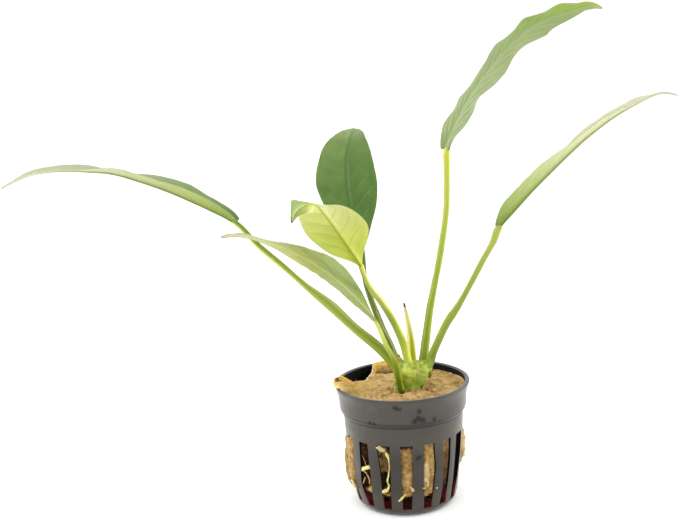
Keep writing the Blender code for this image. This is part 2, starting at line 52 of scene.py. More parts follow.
# The wall's radius and height, from the foot up to the collar
WALL_MM = ((19.0, 0.0), (20.5, 3.0), (21.2, 6.0), (21.95, 12.0), (22.9, 20.0), (23.75, 28.0), (24.2, 34.0),
           (24.45, 38.4), (24.6, 40.0))
SLOT_COUNT = 16
SLOT_TURN = math.radians(-1.0)
SLOT_TOP_Z = 31.2 * MM
SLOT_FOOT_Z = 3.0 * MM
SLOT_TOP_WIDTH = 5.0 * MM
SLOT_FOOT_WIDTH = 3.9 * MM
DRAIN_INNER_RADIUS = 8.0 * MM
DRAIN_OUTER_RADIUS = 14.5 * MM
DRAIN_WIDTH = 2.6 * MM
# How far the seen slots' left and right edges stray from even ones, mm, at five heights
SLOT_EDGE_HEIGHTS_MM = (4.5, 7.5, 12.0, 21.0, 29.0)
SLOT_EDGES_MM = {
    0: ((-0.3, -0.3, -0.15, -0.15, 0.0), (-0.6, -0.4, -0.25, 0.0, 0.0)),
    1: ((0.1, 0.1, 0.1, 0.1, 0.1), (-0.4, -0.2, 0.35, 0.95, -0.05)),
    2: ((-0.8, -0.2, 0.4, 0.2, -0.3), (-1.1, -1.3, -0.8, -0.4, -0.75)),
    3: ((-1.8, -1.8, -1.2, -1.1, -1.0), (-1.9, -1.9, -0.3, 1.2, -0.2)),
    13: ((0.0, 0.0, 0.0, 0.0, 0.0), (-0.7, -2.4, -3.1, -1.8, 0.0)),
    14: ((0.0, -1.2, -2.6, -1.0, 0.1), (-0.6, -0.65, -0.5, -0.25, -0.2)),
    15: ((0.0, 0.1, 0.0, 0.1, -0.2), (-0.6, -0.5, -0.35, 0.05, 0.2)),
}
# The collar's profile as radius and height: up from the wall over the rim, and back down inside
COLLAR_OUTSIDE_MM = (
    (24.5, 38.9), (24.72, 39.3), (25.1, 39.7), (25.5, 40.2), (25.75, 40.8), (25.87, 41.6), (25.93, 42.5),
    (25.98, 43.6), (26.06, 44.6), (26.16, 45.6), (26.3, 46.6), (26.5, 47.5), (26.75, 48.4), (27.02, 49.2),
    (27.27, 49.9), (27.43, 50.4), (27.47, 50.75), (27.38, 51.0), (27.15, 51.16), (26.85, 51.2),
    (26.4, 51.2), (26.0, 51.16), (25.78, 51.05), (25.68, 50.8))
COLLAR_INSIDE_MM = (
    (25.64, 50.3), (25.6, 49.6), (25.3, 48.0), (25.0, 46.0), (24.9, 44.0), (24.75, 42.6), (24.4, 41.4),
    (23.8, 40.2), (23.55, 39.2))
POT_SCUFFS_MM = (               # place and radius of each black scuff
    ((4.6, -23.0, 26.2), 1.1), ((3.7, -23.2, 25.6), 0.7), ((-3.8, -25.9, 48.6), 1.4),
    ((-2.4, -26.0, 48.0), 1.1), ((5.3, -25.7, 46.2), 1.2), ((4.5, -25.5, 43.1), 1.2),
    ((3.2, -25.6, 42.2), 1.2), ((6.6, -25.1, 42.4), 1.3), ((11.2, -23.5, 42.0), 1.2),
    ((-12.6, -22.3, 40.8), 0.9), ((-14.2, -21.3, 40.8), 0.8))
SLOT_COLUMNS = 4                # steps across a slot and across the rib beside it
RIB_COLUMNS = 6
SLOT_ROWS = 16
CORNER_ROWS = 9

# Rock wool
WOOL_GAP = 0.1 * MM
WOOL_FOOT_Z = 7.0 * MM
WOOL_LEVEL = 49.4 * MM
WOOL_SWELLS_MM = (              # centre, radius and height of each swell and hollow of the plug's top
    (0.0, -21.0, 9.0, 0.6), (13.0, 20.5, 6.5, -1.5), (19.0, 13.0, 7.0, -0.9), (-16.0, -13.0, 7.0, -0.4),
    (14.0, -12.0, 5.0, -0.4), (4.6, -8.9, 4.4, 1.3), (13.0, 1.0, 5.0, 0.5), (-1.0, -10.5, 2.2, -0.7),
    (1.0, 14.0, 7.0, -1.4))
WOOL_BULGES_MM = (0.3, 0.9, -0.4, -1.2, 0.0, 0.6, -0.4, 0.5, 0.2, -0.6, 0.7, 0.3, 1.2, 0.8, 0.0, 0.0)
# How far the wool swells out of the slot at the right, and its radius over the rib at the left, by height
RIGHT_SWELL_MM = ((12.0, 13.6, 15.5, 18.5, 22.0, 25.5, 29.0, 31.0), (-0.6, 0.3, 1.7, 2.4, 2.5, 2.0, 1.3, 0.5))
LEFT_SWELL_MM = ((5.2, 8.9, 10.7, 13.4, 15.5, 19.9, 24.3, 27.8, 29.0, 30.5),
                 (21.7, 23.1, 24.0, 24.7, 24.85, 24.65, 24.45, 24.2, 23.9, 23.0))
# The hole torn into the plug at the back left: its depth from the rim at azimuths in degrees from +X
BITE_MM = ((110, 112, 115, 118, 124, 131, 138, 146, 152, 155, 158, 160.5, 163, 165),
           (0.0, 0.1, 0.8, 1.9, 4.0, 5.7, 7.1, 8.0, 8.1, 7.8, 6.7, 4.6, 1.0, 0.0))
BITE_FLOOR_Z = 38.0 * MM
# The flap that stands up at the back: azimuth, half angles and radii between which it rises, and height
BACK_FLAP = (math.radians(108), (0.19, 0.29), (18.0 * MM, 19.6 * MM), 2.7 * MM)
# The flap over the rim at the left: its section as radii and heights at steps in from the plug's edge
LEFT_FLAP_AZIMUTH = math.radians(186)
LEFT_FLAP_HALF_ANGLES = (0.33, 0.42)
LEFT_FLAP_STEPS = (0.0, 0.10, 0.20, 0.30, 0.42, 0.54, 0.68, 0.84, 1.0)
LEFT_FLAP_RADII_MM = (25.4, 26.6, 27.65, 27.7, 28.05, 28.1, 27.2, 24.4, 21.0)
LEFT_FLAP_HEIGHTS_MM = (50.7, 51.4, 51.3, 49.8, 49.2, 50.4, 51.9, 52.5, 50.8)
WOOL_COLUMNS_PER_SLOT = 18
WOOL_SIDE_ROWS = 82
WOOL_RIM_SHARE = 0.13           # the outer share of the top that has finer rows
WOOL_RIM_ROWS = 20
WOOL_TOP_ROWS = 55
FIBRE_COUNT = 5200

# Leaves. Tables in pairs are for the left and the right half of the blade and run evenly from base to tip:
# half_widths_mm, waves_mm (how far the margin is lifted) and folds_deg (how far the half is folded up).
# faces is the way the upper side faces, and quilt_mm how deep the side veins sink. rails_mm places the
# blade directly: share of the length, then the midrib and both margins.
LEAVES = {
    "far_left_leaf": {
        "stalk_mm": ((0.1, -3, 55.5), (-8.5, -2, 65.6), (-18, 0, 74), (-27, 3, 82.8), (-36.6, 5, 91.1),
                     (-45.9, 8, 99.6), (-55.2, 10, 108.1), (-63.8, 12, 117.5)),
        "stalk_radii_mm": (2.24, 2.19, 2.13, 2.06, 1.94, 1.86, 2.02, 2.08, 1.74, 1.36, 1.19, 1.26, 1.3,
                           1.28, 1.13, 1.07, 1.02),
        "midrib_mm": ((-75.2, 13.9, 124.1), (-91, 17.1, 131.4), (-103.8, 19.1, 136.2),
                      (-113.4, 20.1, 139.2), (-123.2, 20.9, 140.4), (-134.6, 22, 141), (-146.3, 22, 140),
                      (-159.3, 21.1, 135.2)),
        "half_widths_mm": ((1.2, 3.3, 5.3, 7, 8.2, 8.9, 9.5, 9.8, 10, 10, 10, 9.9, 9.8, 9.6, 9.4, 9.2, 9,
                            8.7, 8.4, 8, 7.6, 7.2, 6.7, 6.2, 5.6, 4.9, 4.2, 3.4, 2.6, 1.7, 0.8),
                           (1.5, 3.5, 5.1, 6.5, 7.6, 8.2, 9, 9.5, 9.7, 9.7, 9.7, 9.5, 9.4, 9.1, 8.8, 8.7,
                            8.4, 8.3, 8.3, 8.1, 7.7, 7.3, 6.8, 6.3, 5.6, 5, 4.3, 3.5, 2.6, 1.7, 0.8)),
        "waves_mm": ((0, 0.03, 0.09, 0.15, 0.18, 0.13, 0, -0.17, -0.32, -0.4, -0.38, -0.23, 0, 0.24,
                      0.43, 0.5, 0.43, 0.24, 0, -0.23, -0.37, -0.4, -0.32, -0.17, 0, 0.13, 0.18, 0.15,
                      0.09, 0.03, 0),
                     (0.5, 0.33, -0.09, -0.64, -1.05, -1.27, -1.13, -0.94, -0.8, -0.72, -0.68, -0.57,
                      -0.56, -0.85, -1.26, -1.7, -2.08, -1.7, -0.77, -0.2, 0.27, 0.35, 0.42, 0.44, 0.47,
                      0.59, 0.65, 0.63, 0.37, 0.13, 0.15)),
        "faces": ((0, 0, 1), (0, 0.02, 1), (0, 0.1, 1), (0, 0, 1), (-0.2, 0, 1)),
        "folds_deg": ((32, 32, 14, 6, 2), (22, 22, 8, 4, 2)),
        "quilt_mm": 0.12,
    },
    "front_left_leaf": {
        "stalk_mm": ((-0.6, -8.4, 47.5), (-0.7, -9.6, 49.7), (-1.1, -9.9, 51.9), (-1.6, -10.3, 54.5),
                     (-2.5, -11.5, 60.4), (-3.9, -14.6, 65.6), (-6.3, -18, 71.7), (-8.9, -22, 80),
                     (-10.8, -24, 84.1)),
        "stalk_radii_mm": (0.91, 0.91, 0.92, 0.94, 0.95, 0.96, 0.97, 0.96, 0.94, 0.91, 0.87, 0.82, 0.78),
        "midrib_mm": ((-18, -27, 93.5), (-25.3, -31, 102.2), (-33.5, -36, 110.1), (-41.7, -42, 116.8),
                      (-50.7, -48, 122.6), (-58.3, -52, 125.8), (-65, -55, 126.4)),
        "half_widths_mm": ((1.2, 2.9, 4.2, 4.9, 5.8, 6.7, 7.7, 8.6, 9.2, 9.5, 9.7, 9.9, 10.4, 10.7, 10.9,
                            11.1, 11, 10.7, 10, 8.9, 7.6, 6.5, 4.9, 3.8, 2.9, 2.4, 2.1, 1.8, 1.5, 1.2, 0.8),
                           (0.7, 2.2, 4.2, 5.9, 7.4, 8.4, 9.5, 10.1, 10.6, 10.8, 10.8, 10.4, 9.9, 9.4,
                            8.9, 8.3, 7.7, 6.9, 6.2, 5.5, 4.7, 4.1, 3.5, 3, 2.6, 2.4, 2.1, 1.9, 1.4, 1.2,
                            0.9)),
        "waves_mm": ((-0.02, 0, 0.04, 0.04, 0.1, 0, -0.07, -0.05, -0.14, -0.2, -0.25, -0.27, -0.25, -0.2,
                      -0.25, -0.3, -0.35, -0.37, -0.35, -0.3, -0.25, -0.2, -0.2, -0.25, -0.3, -0.3,
                      -0.25, -0.2, -0.15, -0.1, -0.1),
                     (-1.02, -0.99, -0.96, -0.95, -0.69, -0.37, -0.13, 0.18, 0.28, 0.44, 0.5, 0.37, 0.25,
                      0.1, 0.05, 0.01, -0.03, -0.2, -0.28, -0.48, -0.59, -0.65, -0.71, -0.55, -0.39,
                      -0.2, 0.06, 0.25, 0.06, 0.27, 0.25)),
        "faces": ((0.3, -0.5, 1), (0.2, -0.35, 1), (0.2, -0.3, 1), (0, -0.1, 1)),
        "folds_deg": ((6, 4, 2, 0), (5, 12, 8, 5)),
        "quilt_mm": 0.1,
    },
    "young_front_leaf": {
        "stalk_mm": ((2.8, -5.4, 57), (2.5, -6.3, 60.8), (1.2, -7, 67.6), (-0.3, -9, 72.6),
                     (-2.5, -11, 78.5), (-5.1, -14, 84.4), (-7.8, -16, 89.4), (-10.4, -19, 93.8),
                     (-13, -22, 99.5), (-14.9, -25, 106.5)),
        "stalk_radii_mm": (1.7, 1.65, 1.6, 1.54, 1.49, 1.45, 1.42, 1.38, 1.28, 1.15, 1.05, 1.01, 0.99),
        "midrib_mm": ((-14.8, -25, 106.2), (-18.5, -28.3, 113.2), (-22.3, -31, 120), (-26.5, -32, 126.7),
                      (-30.1, -30, 131.2), (-35, -22.6, 129.8), (-39, -18.4, 126.1),
                      (-40.5, -16.6, 122.5)),
        "half_widths_mm": ((1, 2.8, 4.7, 6.3, 7.8, 9, 10, 10.6, 10.9, 11, 10.9, 10.5, 10, 9.4, 8.7, 8,
                            7.2, 6.5, 5.8, 5.3, 4.8, 4.5, 4.5, 4.6, 4.5, 4.1, 3.6, 3, 2.3, 1.6, 0.8),
                           (1, 3.3, 5.6, 7.5, 8.8, 9.8, 10.5, 11, 11.3, 11.5, 11.7, 11.9, 12, 11.9, 11.8,
                            11.5, 11.1, 10.6, 10, 9.2, 8.3, 7.5, 6.8, 6.2, 5.5, 4.8, 4, 3.2, 2.4, 1.6,
                            0.8)),
        "waves_mm": ((0, 0.01, 0.04, 0.07, 0.12, 0.15, 0.17, 0.16, 0.13, 0.08, 0, -0.08, -0.17, -0.24,
                      -0.28, -0.3, -0.28, -0.24, -0.17, -0.08, 0, 0.07, 0.13, 0.16, 0.17, 0.15, 0.12,
                      0.08, 0.04, 0.01, 0),) * 2,
        "faces": ((0.2, 1, 0.3), (0.1, 1, 0.2), (0.1, 1, -0.1), (0.1, 0.8, -0.6), (0.2, -0.9, -0.6)),
        "folds_deg": ((14, 30, 45, 30, 5), (12, 12, 8, 6, 5)),
        "quilt_mm": 0.22,
        "rails_mm": ((0, (-14.8, -25, 106.2), (-14.1, -25, 106.6), (-15.6, -25, 105.9)),
                     (0.07, (-16.6, -27, 109.7), (-13, -26.2, 111.9), (-21.1, -27, 108.9)),
                     (0.15, (-18.5, -28.3, 113.2), (-11.7, -27.4, 116.2), (-25.9, -28, 111.3)),
                     (0.23, (-20.4, -29.7, 116.6), (-11, -28.2, 119.9), (-29.6, -29, 114.3)),
                     (0.31, (-22.3, -31, 120), (-11.7, -29, 123.1), (-32.6, -29.5, 117.3)),
                     (0.39, (-24.3, -32, 123.4), (-14.3, -29.6, 126.5), (-34.8, -29.6, 120)),
                     (0.47, (-26.5, -32, 126.7), (-17.6, -29.6, 129.2), (-36.2, -29.2, 122.9)),
                     (0.54, (-28.5, -31.4, 129.4), (-21.3, -29, 130.8), (-37.1, -28.6, 125.6)),
                     (0.6, (-30.1, -30, 131.2), (-25, -28, 131.3), (-37.4, -27.6, 127.5)),
                     (0.66, (-32.3, -26.4, 131.1), (-28.6, -25.2, 131.1), (-36.3, -24, 127.3)),
                     (0.74, (-35, -22.6, 129.8), (-33, -21.8, 131.1), (-36.1, -20.6, 125.8)),
                     (0.82, (-37.3, -20.2, 128.2), (-36.9, -19.8, 131.3), (-37, -18.6, 125.1)),
                     (0.9, (-39, -18.4, 126.1), (-40, -18.6, 131.6), (-38.2, -17.4, 124.5)),
                     (0.95, (-39.8, -17.4, 124.2), (-40.6, -17.8, 128.5), (-39.3, -16.9, 123.3)),
                     (1, (-40.5, -16.6, 122.5), (-40.8, -16.8, 123.3), (-40.3, -16.5, 122.2))),
    },
    "upright_back_leaf": {
        "stalk_mm": ((-0.4, 0, 55), (-1.6, 2, 58.3), (-2.7, 3, 61), (-4.1, 4, 65), (-5.8, 5, 69.1),
                     (-7.7, 7, 74), (-12.5, 13, 89.4), (-13.3, 18, 102.2)),
        "stalk_radii_mm": (1.6, 1.57, 1.54, 1.5, 1.44, 1.37, 1.3, 1.23, 1.16, 1.1, 1.06, 1.03, 1),
        "midrib_mm": ((-15.6, 22, 112), (-17.3, 27, 121.6), (-17.8, 33, 131.1), (-17.3, 39, 138.5),
                      (-15.7, 46, 143.2), (-14.1, 54, 145.6), (-12.7, 59, 146.1), (-11.8, 64, 144.6)),
        "half_widths_mm": ((0.8, 1, 2.8, 4.5, 6, 7.3, 8.5, 9.5, 10.2, 10.8, 11.6, 12.3, 12.9, 13.1, 12.9,
                            12.6, 12.1, 11.5, 11, 10.2, 9.4, 8.4, 7.4, 6.5, 5.5, 4.5, 3.1, 1.9, 1.4, 1.1,
                            0.9),
                           (1.2, 3, 4.8, 6.5, 8, 9.4, 10.8, 11.8, 12.5, 12.9, 13.2, 13.3, 13.2, 13, 12.6,
                            12.3, 11.8, 11.2, 10.6, 9.8, 8.9, 7.9, 6.8, 6, 5.3, 4.4, 3.2, 1.9, 0.9, 1, 1)),
        "waves_mm": ((-0.33, -0.32, -0.29, -0.26, -0.21, -0.18, -0.16, -0.17, -0.2, -0.25, -0.27, -0.24,
                      -0.24, -0.24, -0.29, -0.36, -0.36, -0.34, -0.24, -0.19, -0.14, -0.11, -0.09, -0.09,
                      -0.09, -0.13, -0.25, -0.26, -0.01, -0.2, -0.37),
                     (-0.01, 0.02, 0.05, 0.08, 0.06, 0.04, -0.02, -0.07, -0.12, -0.16, -0.22, -0.26,
                      -0.26, -0.25, -0.21, -0.15, -0.06, 0.04, 0.12, 0.18, 0.22, 0.22, 0.17, 0.11, 0.05,
                      0, -0.04, -0.15, -0.24, -0.15, -0.13)),
        "faces": ((-0.2, -1, 0.3), (-0.2, -1, 0.3), (-0.2, -1, 0.5), (-0.1, -0.9, 0.8), (0, -0.2, 1)),
        "folds_deg": ((16, 14, 12, 10, 10), (16, 14, 12, 10, 10)),
        "quilt_mm": 0.05,
    },
    "tall_right_leaf": {
        "stalk_mm": ((7.4, -1.5, 52.5), (8.8, 0, 56.6), (10.6, 1, 67.7), (12.8, 2, 80.2),
                     (15.7, 4, 92.2), (18.5, 6, 104.4), (21.2, 8, 119.6), (22, 9, 135), (22.4, 10, 143.2)),
        "stalk_radii_mm": (1.98, 1.85, 1.71, 1.55, 1.43, 1.29, 1.33, 1.36, 1.29, 1.26, 1.23, 1.26, 1.29),
        "midrib_mm": ((25.2, 11, 150.1), (29.7, 13, 158.4), (35.3, 15, 166.5), (43.1, 18, 175.4),
                      (49.1, 20, 181.3), (57.4, 22, 187.6), (64.6, 24, 191), (74.2, 26, 193.9),
                      (83.8, 28, 195.6), (88.7, 29, 194.8)),
        "half_widths_mm": ((1.8, 3.3, 4.5, 5.2, 4.7, 4, 3.9, 4.2, 3.9, 3.7, 3.7, 3.7, 3.8, 4.1, 5, 5.8,
                            5.8, 5.7, 5.5, 5.9, 6.3, 5.7, 5.4, 5.5, 6, 6, 5, 3.8, 3, 1.8, 0.8),
                           (1.7, 2.6, 3.5, 4.9, 5.7, 6.1, 6.3, 6, 6.2, 7.2, 8.3, 9, 9, 8.3, 7.3, 6.9,
                            7.3, 8.4, 9.5, 10.3, 10.2, 9, 7.8, 6.8, 6.1, 5.4, 4.6, 3.5, 2.9, 2.1, 1.2)),
        "waves_mm": ((0.5, 0.17, -0.19, -0.34, -0.58, -0.66, -0.55, -0.61, -1.09, -1.25, -1.1, -0.7,
                      -0.3, -0.21, -0.19, -0.37, -0.93, -1.09, -0.95, -0.24, 0.37, 0.02, -0.45, -0.62,
                      -0.27, 0.03, -0.19, -0.34, 0.04, -0.03, 0.04),
                     (-0.79, -0.22, 0.15, -0.36, -0.65, -0.72, -0.48, 0.17, 0.47, -0.12, -0.48, -0.66,
                      -1.03, -1.31, -1.32, -1.08, -0.36, -0.02, -0.34, -1.07, -1.72, -1.36, -1.4, -1.45,
                      -1.43, -1.2, -0.87, -0.43, -0.57, -0.67, -0.5)),
        "faces": ((-0.9, -0.9, 0.3), (-0.8, -0.8, 0.6), (-0.7, -0.6, 0.9), (-0.4, -0.5, 1)),
        "folds_deg": ((8, 8, 8, 8), (8, 8, 8, 8)),
        "quilt_mm": 0.16,
    },
    "right_leaf": {
        "stalk_mm": ((7.6, -7.6, 52.5), (9.9, -6.4, 57.2), (11.8, -5, 60.4), (12.8, -5.2, 63.8),
                     (15.3, -6.1, 69.3), (19, -8.1, 77.2), (23.9, -10.1, 85.1), (29.3, -12.1, 95.2),
                     (33.7, -15.1, 104.4), (37.2, -16, 110.7), (39.4, -18, 116.9)),
        "stalk_radii_mm": (1.86, 1.79, 1.71, 1.6, 1.55, 1.71, 1.35, 1.22, 1.26, 1.28, 1.27, 1.47, 1.49),
        "midrib_mm": ((45.1, -20, 123.7), (51.9, -22, 131.4), (58.9, -24, 138.6), (65.5, -27.1, 145.6),
                      (72, -30.1, 152), (80.6, -33.1, 158.9), (89, -36.2, 164.2), (97.2, -38, 167.7),
                      (103.6, -39, 167)),
        "half_widths_mm": ((1.1, 3.1, 5.2, 6.9, 7.6, 8.2, 8.4, 8.1, 7.6, 7.1, 6.9, 6.7, 6.7, 6.6, 6.8,
                            6.8, 6.8, 6.6, 6.3, 6, 5.7, 5.3, 4.9, 4.4, 4, 3.5, 2.8, 2.1, 1.5, 1.3, 0.8),
                           (1.2, 3.5, 5.8, 7.6, 8.5, 8.9, 9, 9, 8.8, 8.6, 8.4, 8.1, 7.8, 7.6, 7.4, 7.2,
                            7, 6.7, 6.4, 6.1, 5.8, 5.4, 5, 4.5, 4, 3.4, 2.8, 2.2, 1.7, 1.3, 0.8)),
        "waves_mm": ((-0.22, -0.62, -0.99, -1.18, -1.36, -1.21, -1.17, -1.72, -2.3, -2.82, -2.84, -2.46,
                      -1.84, -1.57, -1.17, -0.77, -0.74, -0.51, -0.46, -0.36, -0.27, -0.14, -0.06, -0.01,
                      0.41, 0.3, -0.19, -0.54, -0.55, -0.32, -0.3),
                     (0, 0.04, 0.06, 0.03, -0.06, -0.17, -0.23, -0.21, -0.08, 0.12, 0.29, 0.36, 0.29,
                      0.1, -0.14, -0.34, -0.4, -0.3, -0.1, 0.13, 0.29, 0.32, 0.23, 0.07, -0.09, -0.17,
                      -0.16, -0.1, -0.02, 0.02, 0)),
        "faces": ((-0.7, 0.02, 0.7), (-0.7, 0.02, 0.7), (-0.5, 0, 0.8), (-0.2, 0, 1)),
        "folds_deg": ((28, 20, 14, 5), (40, 36, 24, 5)),
        "quilt_mm": 0.1,
    },
}
MIDRIB_BASE_THICKNESS = 2.0 * MM
MIDRIB_TIP_THICKNESS = 0.7 * MM
BLADE_THICKNESS = 0.42 * MM
MARGIN_THICKNESS = 0.18 * MM
CURVE_STEPS = 16
BLADE_ROWS = 150
BLADE_COLUMNS = 44
STALK_ROWS = 120
STALK_SIDES = 28
SPIKE_ROWS = 110
SPIKE_SIDES = 32
# How far towards the tip the side veins run and how that grows outwards, and how far those of the right
# half are shifted against the left half's, as a share of their spacing
VEIN_REACH = 0.17
VEIN_POWER = 1.35
VEIN_SHIFT = 0.4



def both(*colours):
    """The same colours for a blade's left and right half."""
    return {"left": colours, "right": colours}


LEAF_FLESH = (0.8, (0.8, 1.0, 0.35))  # how far in mm light spreads in leaves and stalks, and its colour
# Colours are given as the sRGB values, 0 to 255, that a picture shows
# Each side of a blade: colours along its left and its right half, from base to tip, its midrib's, its
# veins' and its margins' colours, how strongly the veins and margins show, the number of veins, how far
# the midrib's colour reaches and how strongly the blade is mottled
# The colours along the halves hold painted light as well as the leaves' own greens: the pale grey to near
# white stretches, mostly towards the tips, are painted sheen and glare
BLADE_LOOKS = {
    "far_left_leaf": {
        "upper": {
            "left": ((94, 126, 84), (110, 138, 90), (140, 154, 116), (170, 172, 126), (190, 186, 158)),
            "right": ((90, 116, 58), (118, 138, 82), (140, 150, 124), (168, 170, 136), (190, 184, 170)),
            "midrib": ((120, 140, 52), (190, 190, 126)), "vein": ((70, 100, 52), 0.3, 13),
            "margin": ((90, 112, 72), 0.35)},
        "under": {
            "left": ((128, 148, 52), (166, 174, 88), (182, 180, 142), (208, 204, 174), (216, 210, 210)),
            "right": ((150, 164, 62), (182, 184, 96), (200, 196, 138), (210, 202, 158), (216, 206, 184)),
            "midrib": ((78, 98, 8), (122, 136, 52)), "vein": ((130, 148, 62), 0.35, 13),
            "margin": ((122, 148, 72), 0.6), "rib_mm": 1.3},
    },
    "front_left_leaf": {
        "upper": {
            "left": ((132, 142, 66), (138, 146, 76), (156, 156, 88), (192, 188, 128), (208, 202, 160)),
            "right": ((120, 136, 54), (134, 150, 68), (162, 168, 92), (170, 172, 122), (206, 194, 166)),
            "midrib": ((142, 160, 88), (182, 180, 126)), "vein": ((118, 138, 60), 0.35, 10),
            "margin": ((116, 112, 100), 0.75), "rib_mm": 0.8},
        "under": {
            "left": ((162, 172, 76), (170, 178, 94), (182, 184, 112), (200, 194, 130), (212, 200, 156)),
            "right": ((154, 166, 76), (164, 174, 94), (176, 180, 106), (198, 194, 128), (212, 200, 156)),
            "midrib": ((124, 144, 42), (194, 190, 130)), "vein": ((134, 150, 68), 0.35, 10),
            "margin": ((134, 138, 94), 0.4)},
    },
    "young_front_leaf": {
        "upper": {
            **both((186, 196, 84), (194, 200, 108), (202, 204, 132), (166, 184, 96), (118, 140, 72)),
            "midrib": ((146, 168, 50), (156, 170, 84)), "vein": ((146, 168, 72), 0.45, 8),
            "margin": ((118, 140, 96), 0.35)},
        "under": {
            "left": ((198, 200, 72), (198, 200, 92), (210, 206, 146), (202, 206, 162), (132, 166, 72)),
            "right": ((208, 212, 88), (206, 212, 102), (212, 212, 134), (200, 202, 136), (146, 170, 78)),
            "midrib": ((138, 146, 16), (166, 172, 62)), "vein": ((156, 178, 72), 0.4, 8),
            "margin": ((136, 154, 132), 0.5), "rib_mm": 0.75},
    },
    "upright_back_leaf": {
        "upper": {
            "left": ((92, 120, 56), (90, 120, 50), (98, 128, 52), (122, 144, 78), (140, 156, 98)),
            "right": ((88, 116, 56), (74, 108, 38), (82, 116, 38), (102, 126, 58), (130, 144, 82)),
            "midrib": ((68, 102, 34), (80, 110, 44)), "vein": ((74, 106, 40), 0.14, 9),
            "margin": ((70, 86, 54), 0.6), "mottle": 0.6},
        "under": {
            **both((118, 134, 74), (116, 132, 72), (120, 136, 74), (128, 142, 80), (138, 148, 86)),
            "midrib": ((123, 138, 59), (123, 138, 69)), "vein": ((100, 118, 54), 0.16, 9),
            "margin": ((90, 104, 64), 0.4)},
    },
    "tall_right_leaf": {
        "upper": {
            "left": ((130, 146, 82), (156, 168, 130), (140, 152, 106), (126, 152, 56), (152, 172, 60)),
            "right": ((132, 148, 100), (152, 162, 122), (148, 160, 110), (134, 148, 96), (148, 164, 90)),
            "midrib": ((148, 164, 114), (118, 138, 70)), "vein": ((118, 136, 78), 0.35, 14),
            "margin": ((98, 116, 66), 0.6)},
        "under": {
            **both((148, 160, 84), (156, 166, 104), (158, 168, 104), (158, 170, 90), (172, 182, 94)),
            "midrib": ((148, 162, 48), (158, 168, 74)), "vein": ((128, 144, 74), 0.35, 14),
            "margin": ((118, 130, 74), 0.4)},
    },
    "right_leaf": {
        "upper": {
            "left": ((92, 118, 56), (160, 166, 148), (188, 186, 166), (194, 190, 166), (200, 192, 184)),
            "right": ((84, 112, 48), (140, 156, 112), (176, 182, 152), (192, 192, 168), (200, 196, 190)),
            "midrib": ((130, 152, 68), (200, 196, 178)), "vein": ((120, 144, 90), 0.3, 13),
            "margin": ((102, 116, 90), 0.4)},
        "under": {
            "left": ((112, 134, 36), (178, 190, 112), (200, 200, 164), (210, 204, 178), (210, 200, 196)),
            "right": ((108, 130, 34), (172, 184, 104), (204, 202, 164), (204, 202, 168), (204, 196, 180)),
            "midrib": ((70, 98, 4), (150, 158, 88)), "vein": ((140, 156, 90), 0.35, 13),
            "margin": ((120, 132, 92), 0.6), "rib_mm": 1.3},
    },
}
# Each stalk: colours along its upper and its lower side, from rhizome to blade, and where its sheath ends.
# Besides the stalks' own greens, the two sides' colours hold painted highlights and painted shade
STALK_LOOKS = {
    "far_left_leaf": (
        ((102, 118, 28), (124, 138, 36), (148, 156, 68), (112, 132, 40), (104, 126, 26)),
        ((146, 158, 46), (152, 162, 52), (150, 160, 68), (212, 210, 112), (158, 174, 42)),
        0.56),
    "front_left_leaf": (
        ((144, 162, 28), (156, 178, 36), (152, 172, 40), (120, 140, 36), (122, 138, 40)),
        ((62, 82, 4), (102, 124, 6), (148, 160, 54), (202, 200, 106), (182, 188, 90)),
        0.7),
    "young_front_leaf": (
        ((238, 230, 104), (218, 214, 76), (206, 200, 88), (236, 228, 124), (250, 248, 136)),
        ((200, 202, 100), (158, 174, 56), (112, 132, 50), (176, 182, 90), (200, 198, 100)),
        0.7),
    "upright_back_leaf": (
        ((108, 120, 34), (110, 122, 26), (98, 110, 20), (86, 104, 26), (90, 108, 34)),
        ((96, 108, 22), (100, 112, 20), (84, 98, 14), (74, 92, 18), (78, 98, 26)),
        0.5),
    "tall_right_leaf": (
        ((142, 148, 42), (126, 142, 24), (150, 162, 54), (168, 176, 82), (196, 196, 70)),
        ((178, 184, 70), (154, 170, 42), (156, 172, 56), (176, 188, 100), (210, 216, 88)),
        0.45),
    "right_leaf": (
        ((126, 148, 54), (156, 164, 62), (130, 140, 54), (146, 158, 74), (172, 172, 104)),
        ((96, 122, 24), (132, 146, 42), (132, 146, 48), (148, 162, 62), (168, 170, 72)),
        0.42),
}
# Steps of the curve left out at a stalk's start, inside the crown, and how much wider its foot is
STALK_FIRSTS = {"right_leaf": 11}
STALK_FLARES = {"front_left_leaf": 0.9}
SPIKE_MM = ((4.6, -3.4, 57.9), (4.5, -2.4, 63.5), (4.1, -2.0, 70.2), (3.1, -2.0, 77.8), (2.1, -2.0, 84.1))
SPIKE_RADII_MM = (1.6, 1.64, 1.48, 1.12, 0.34)

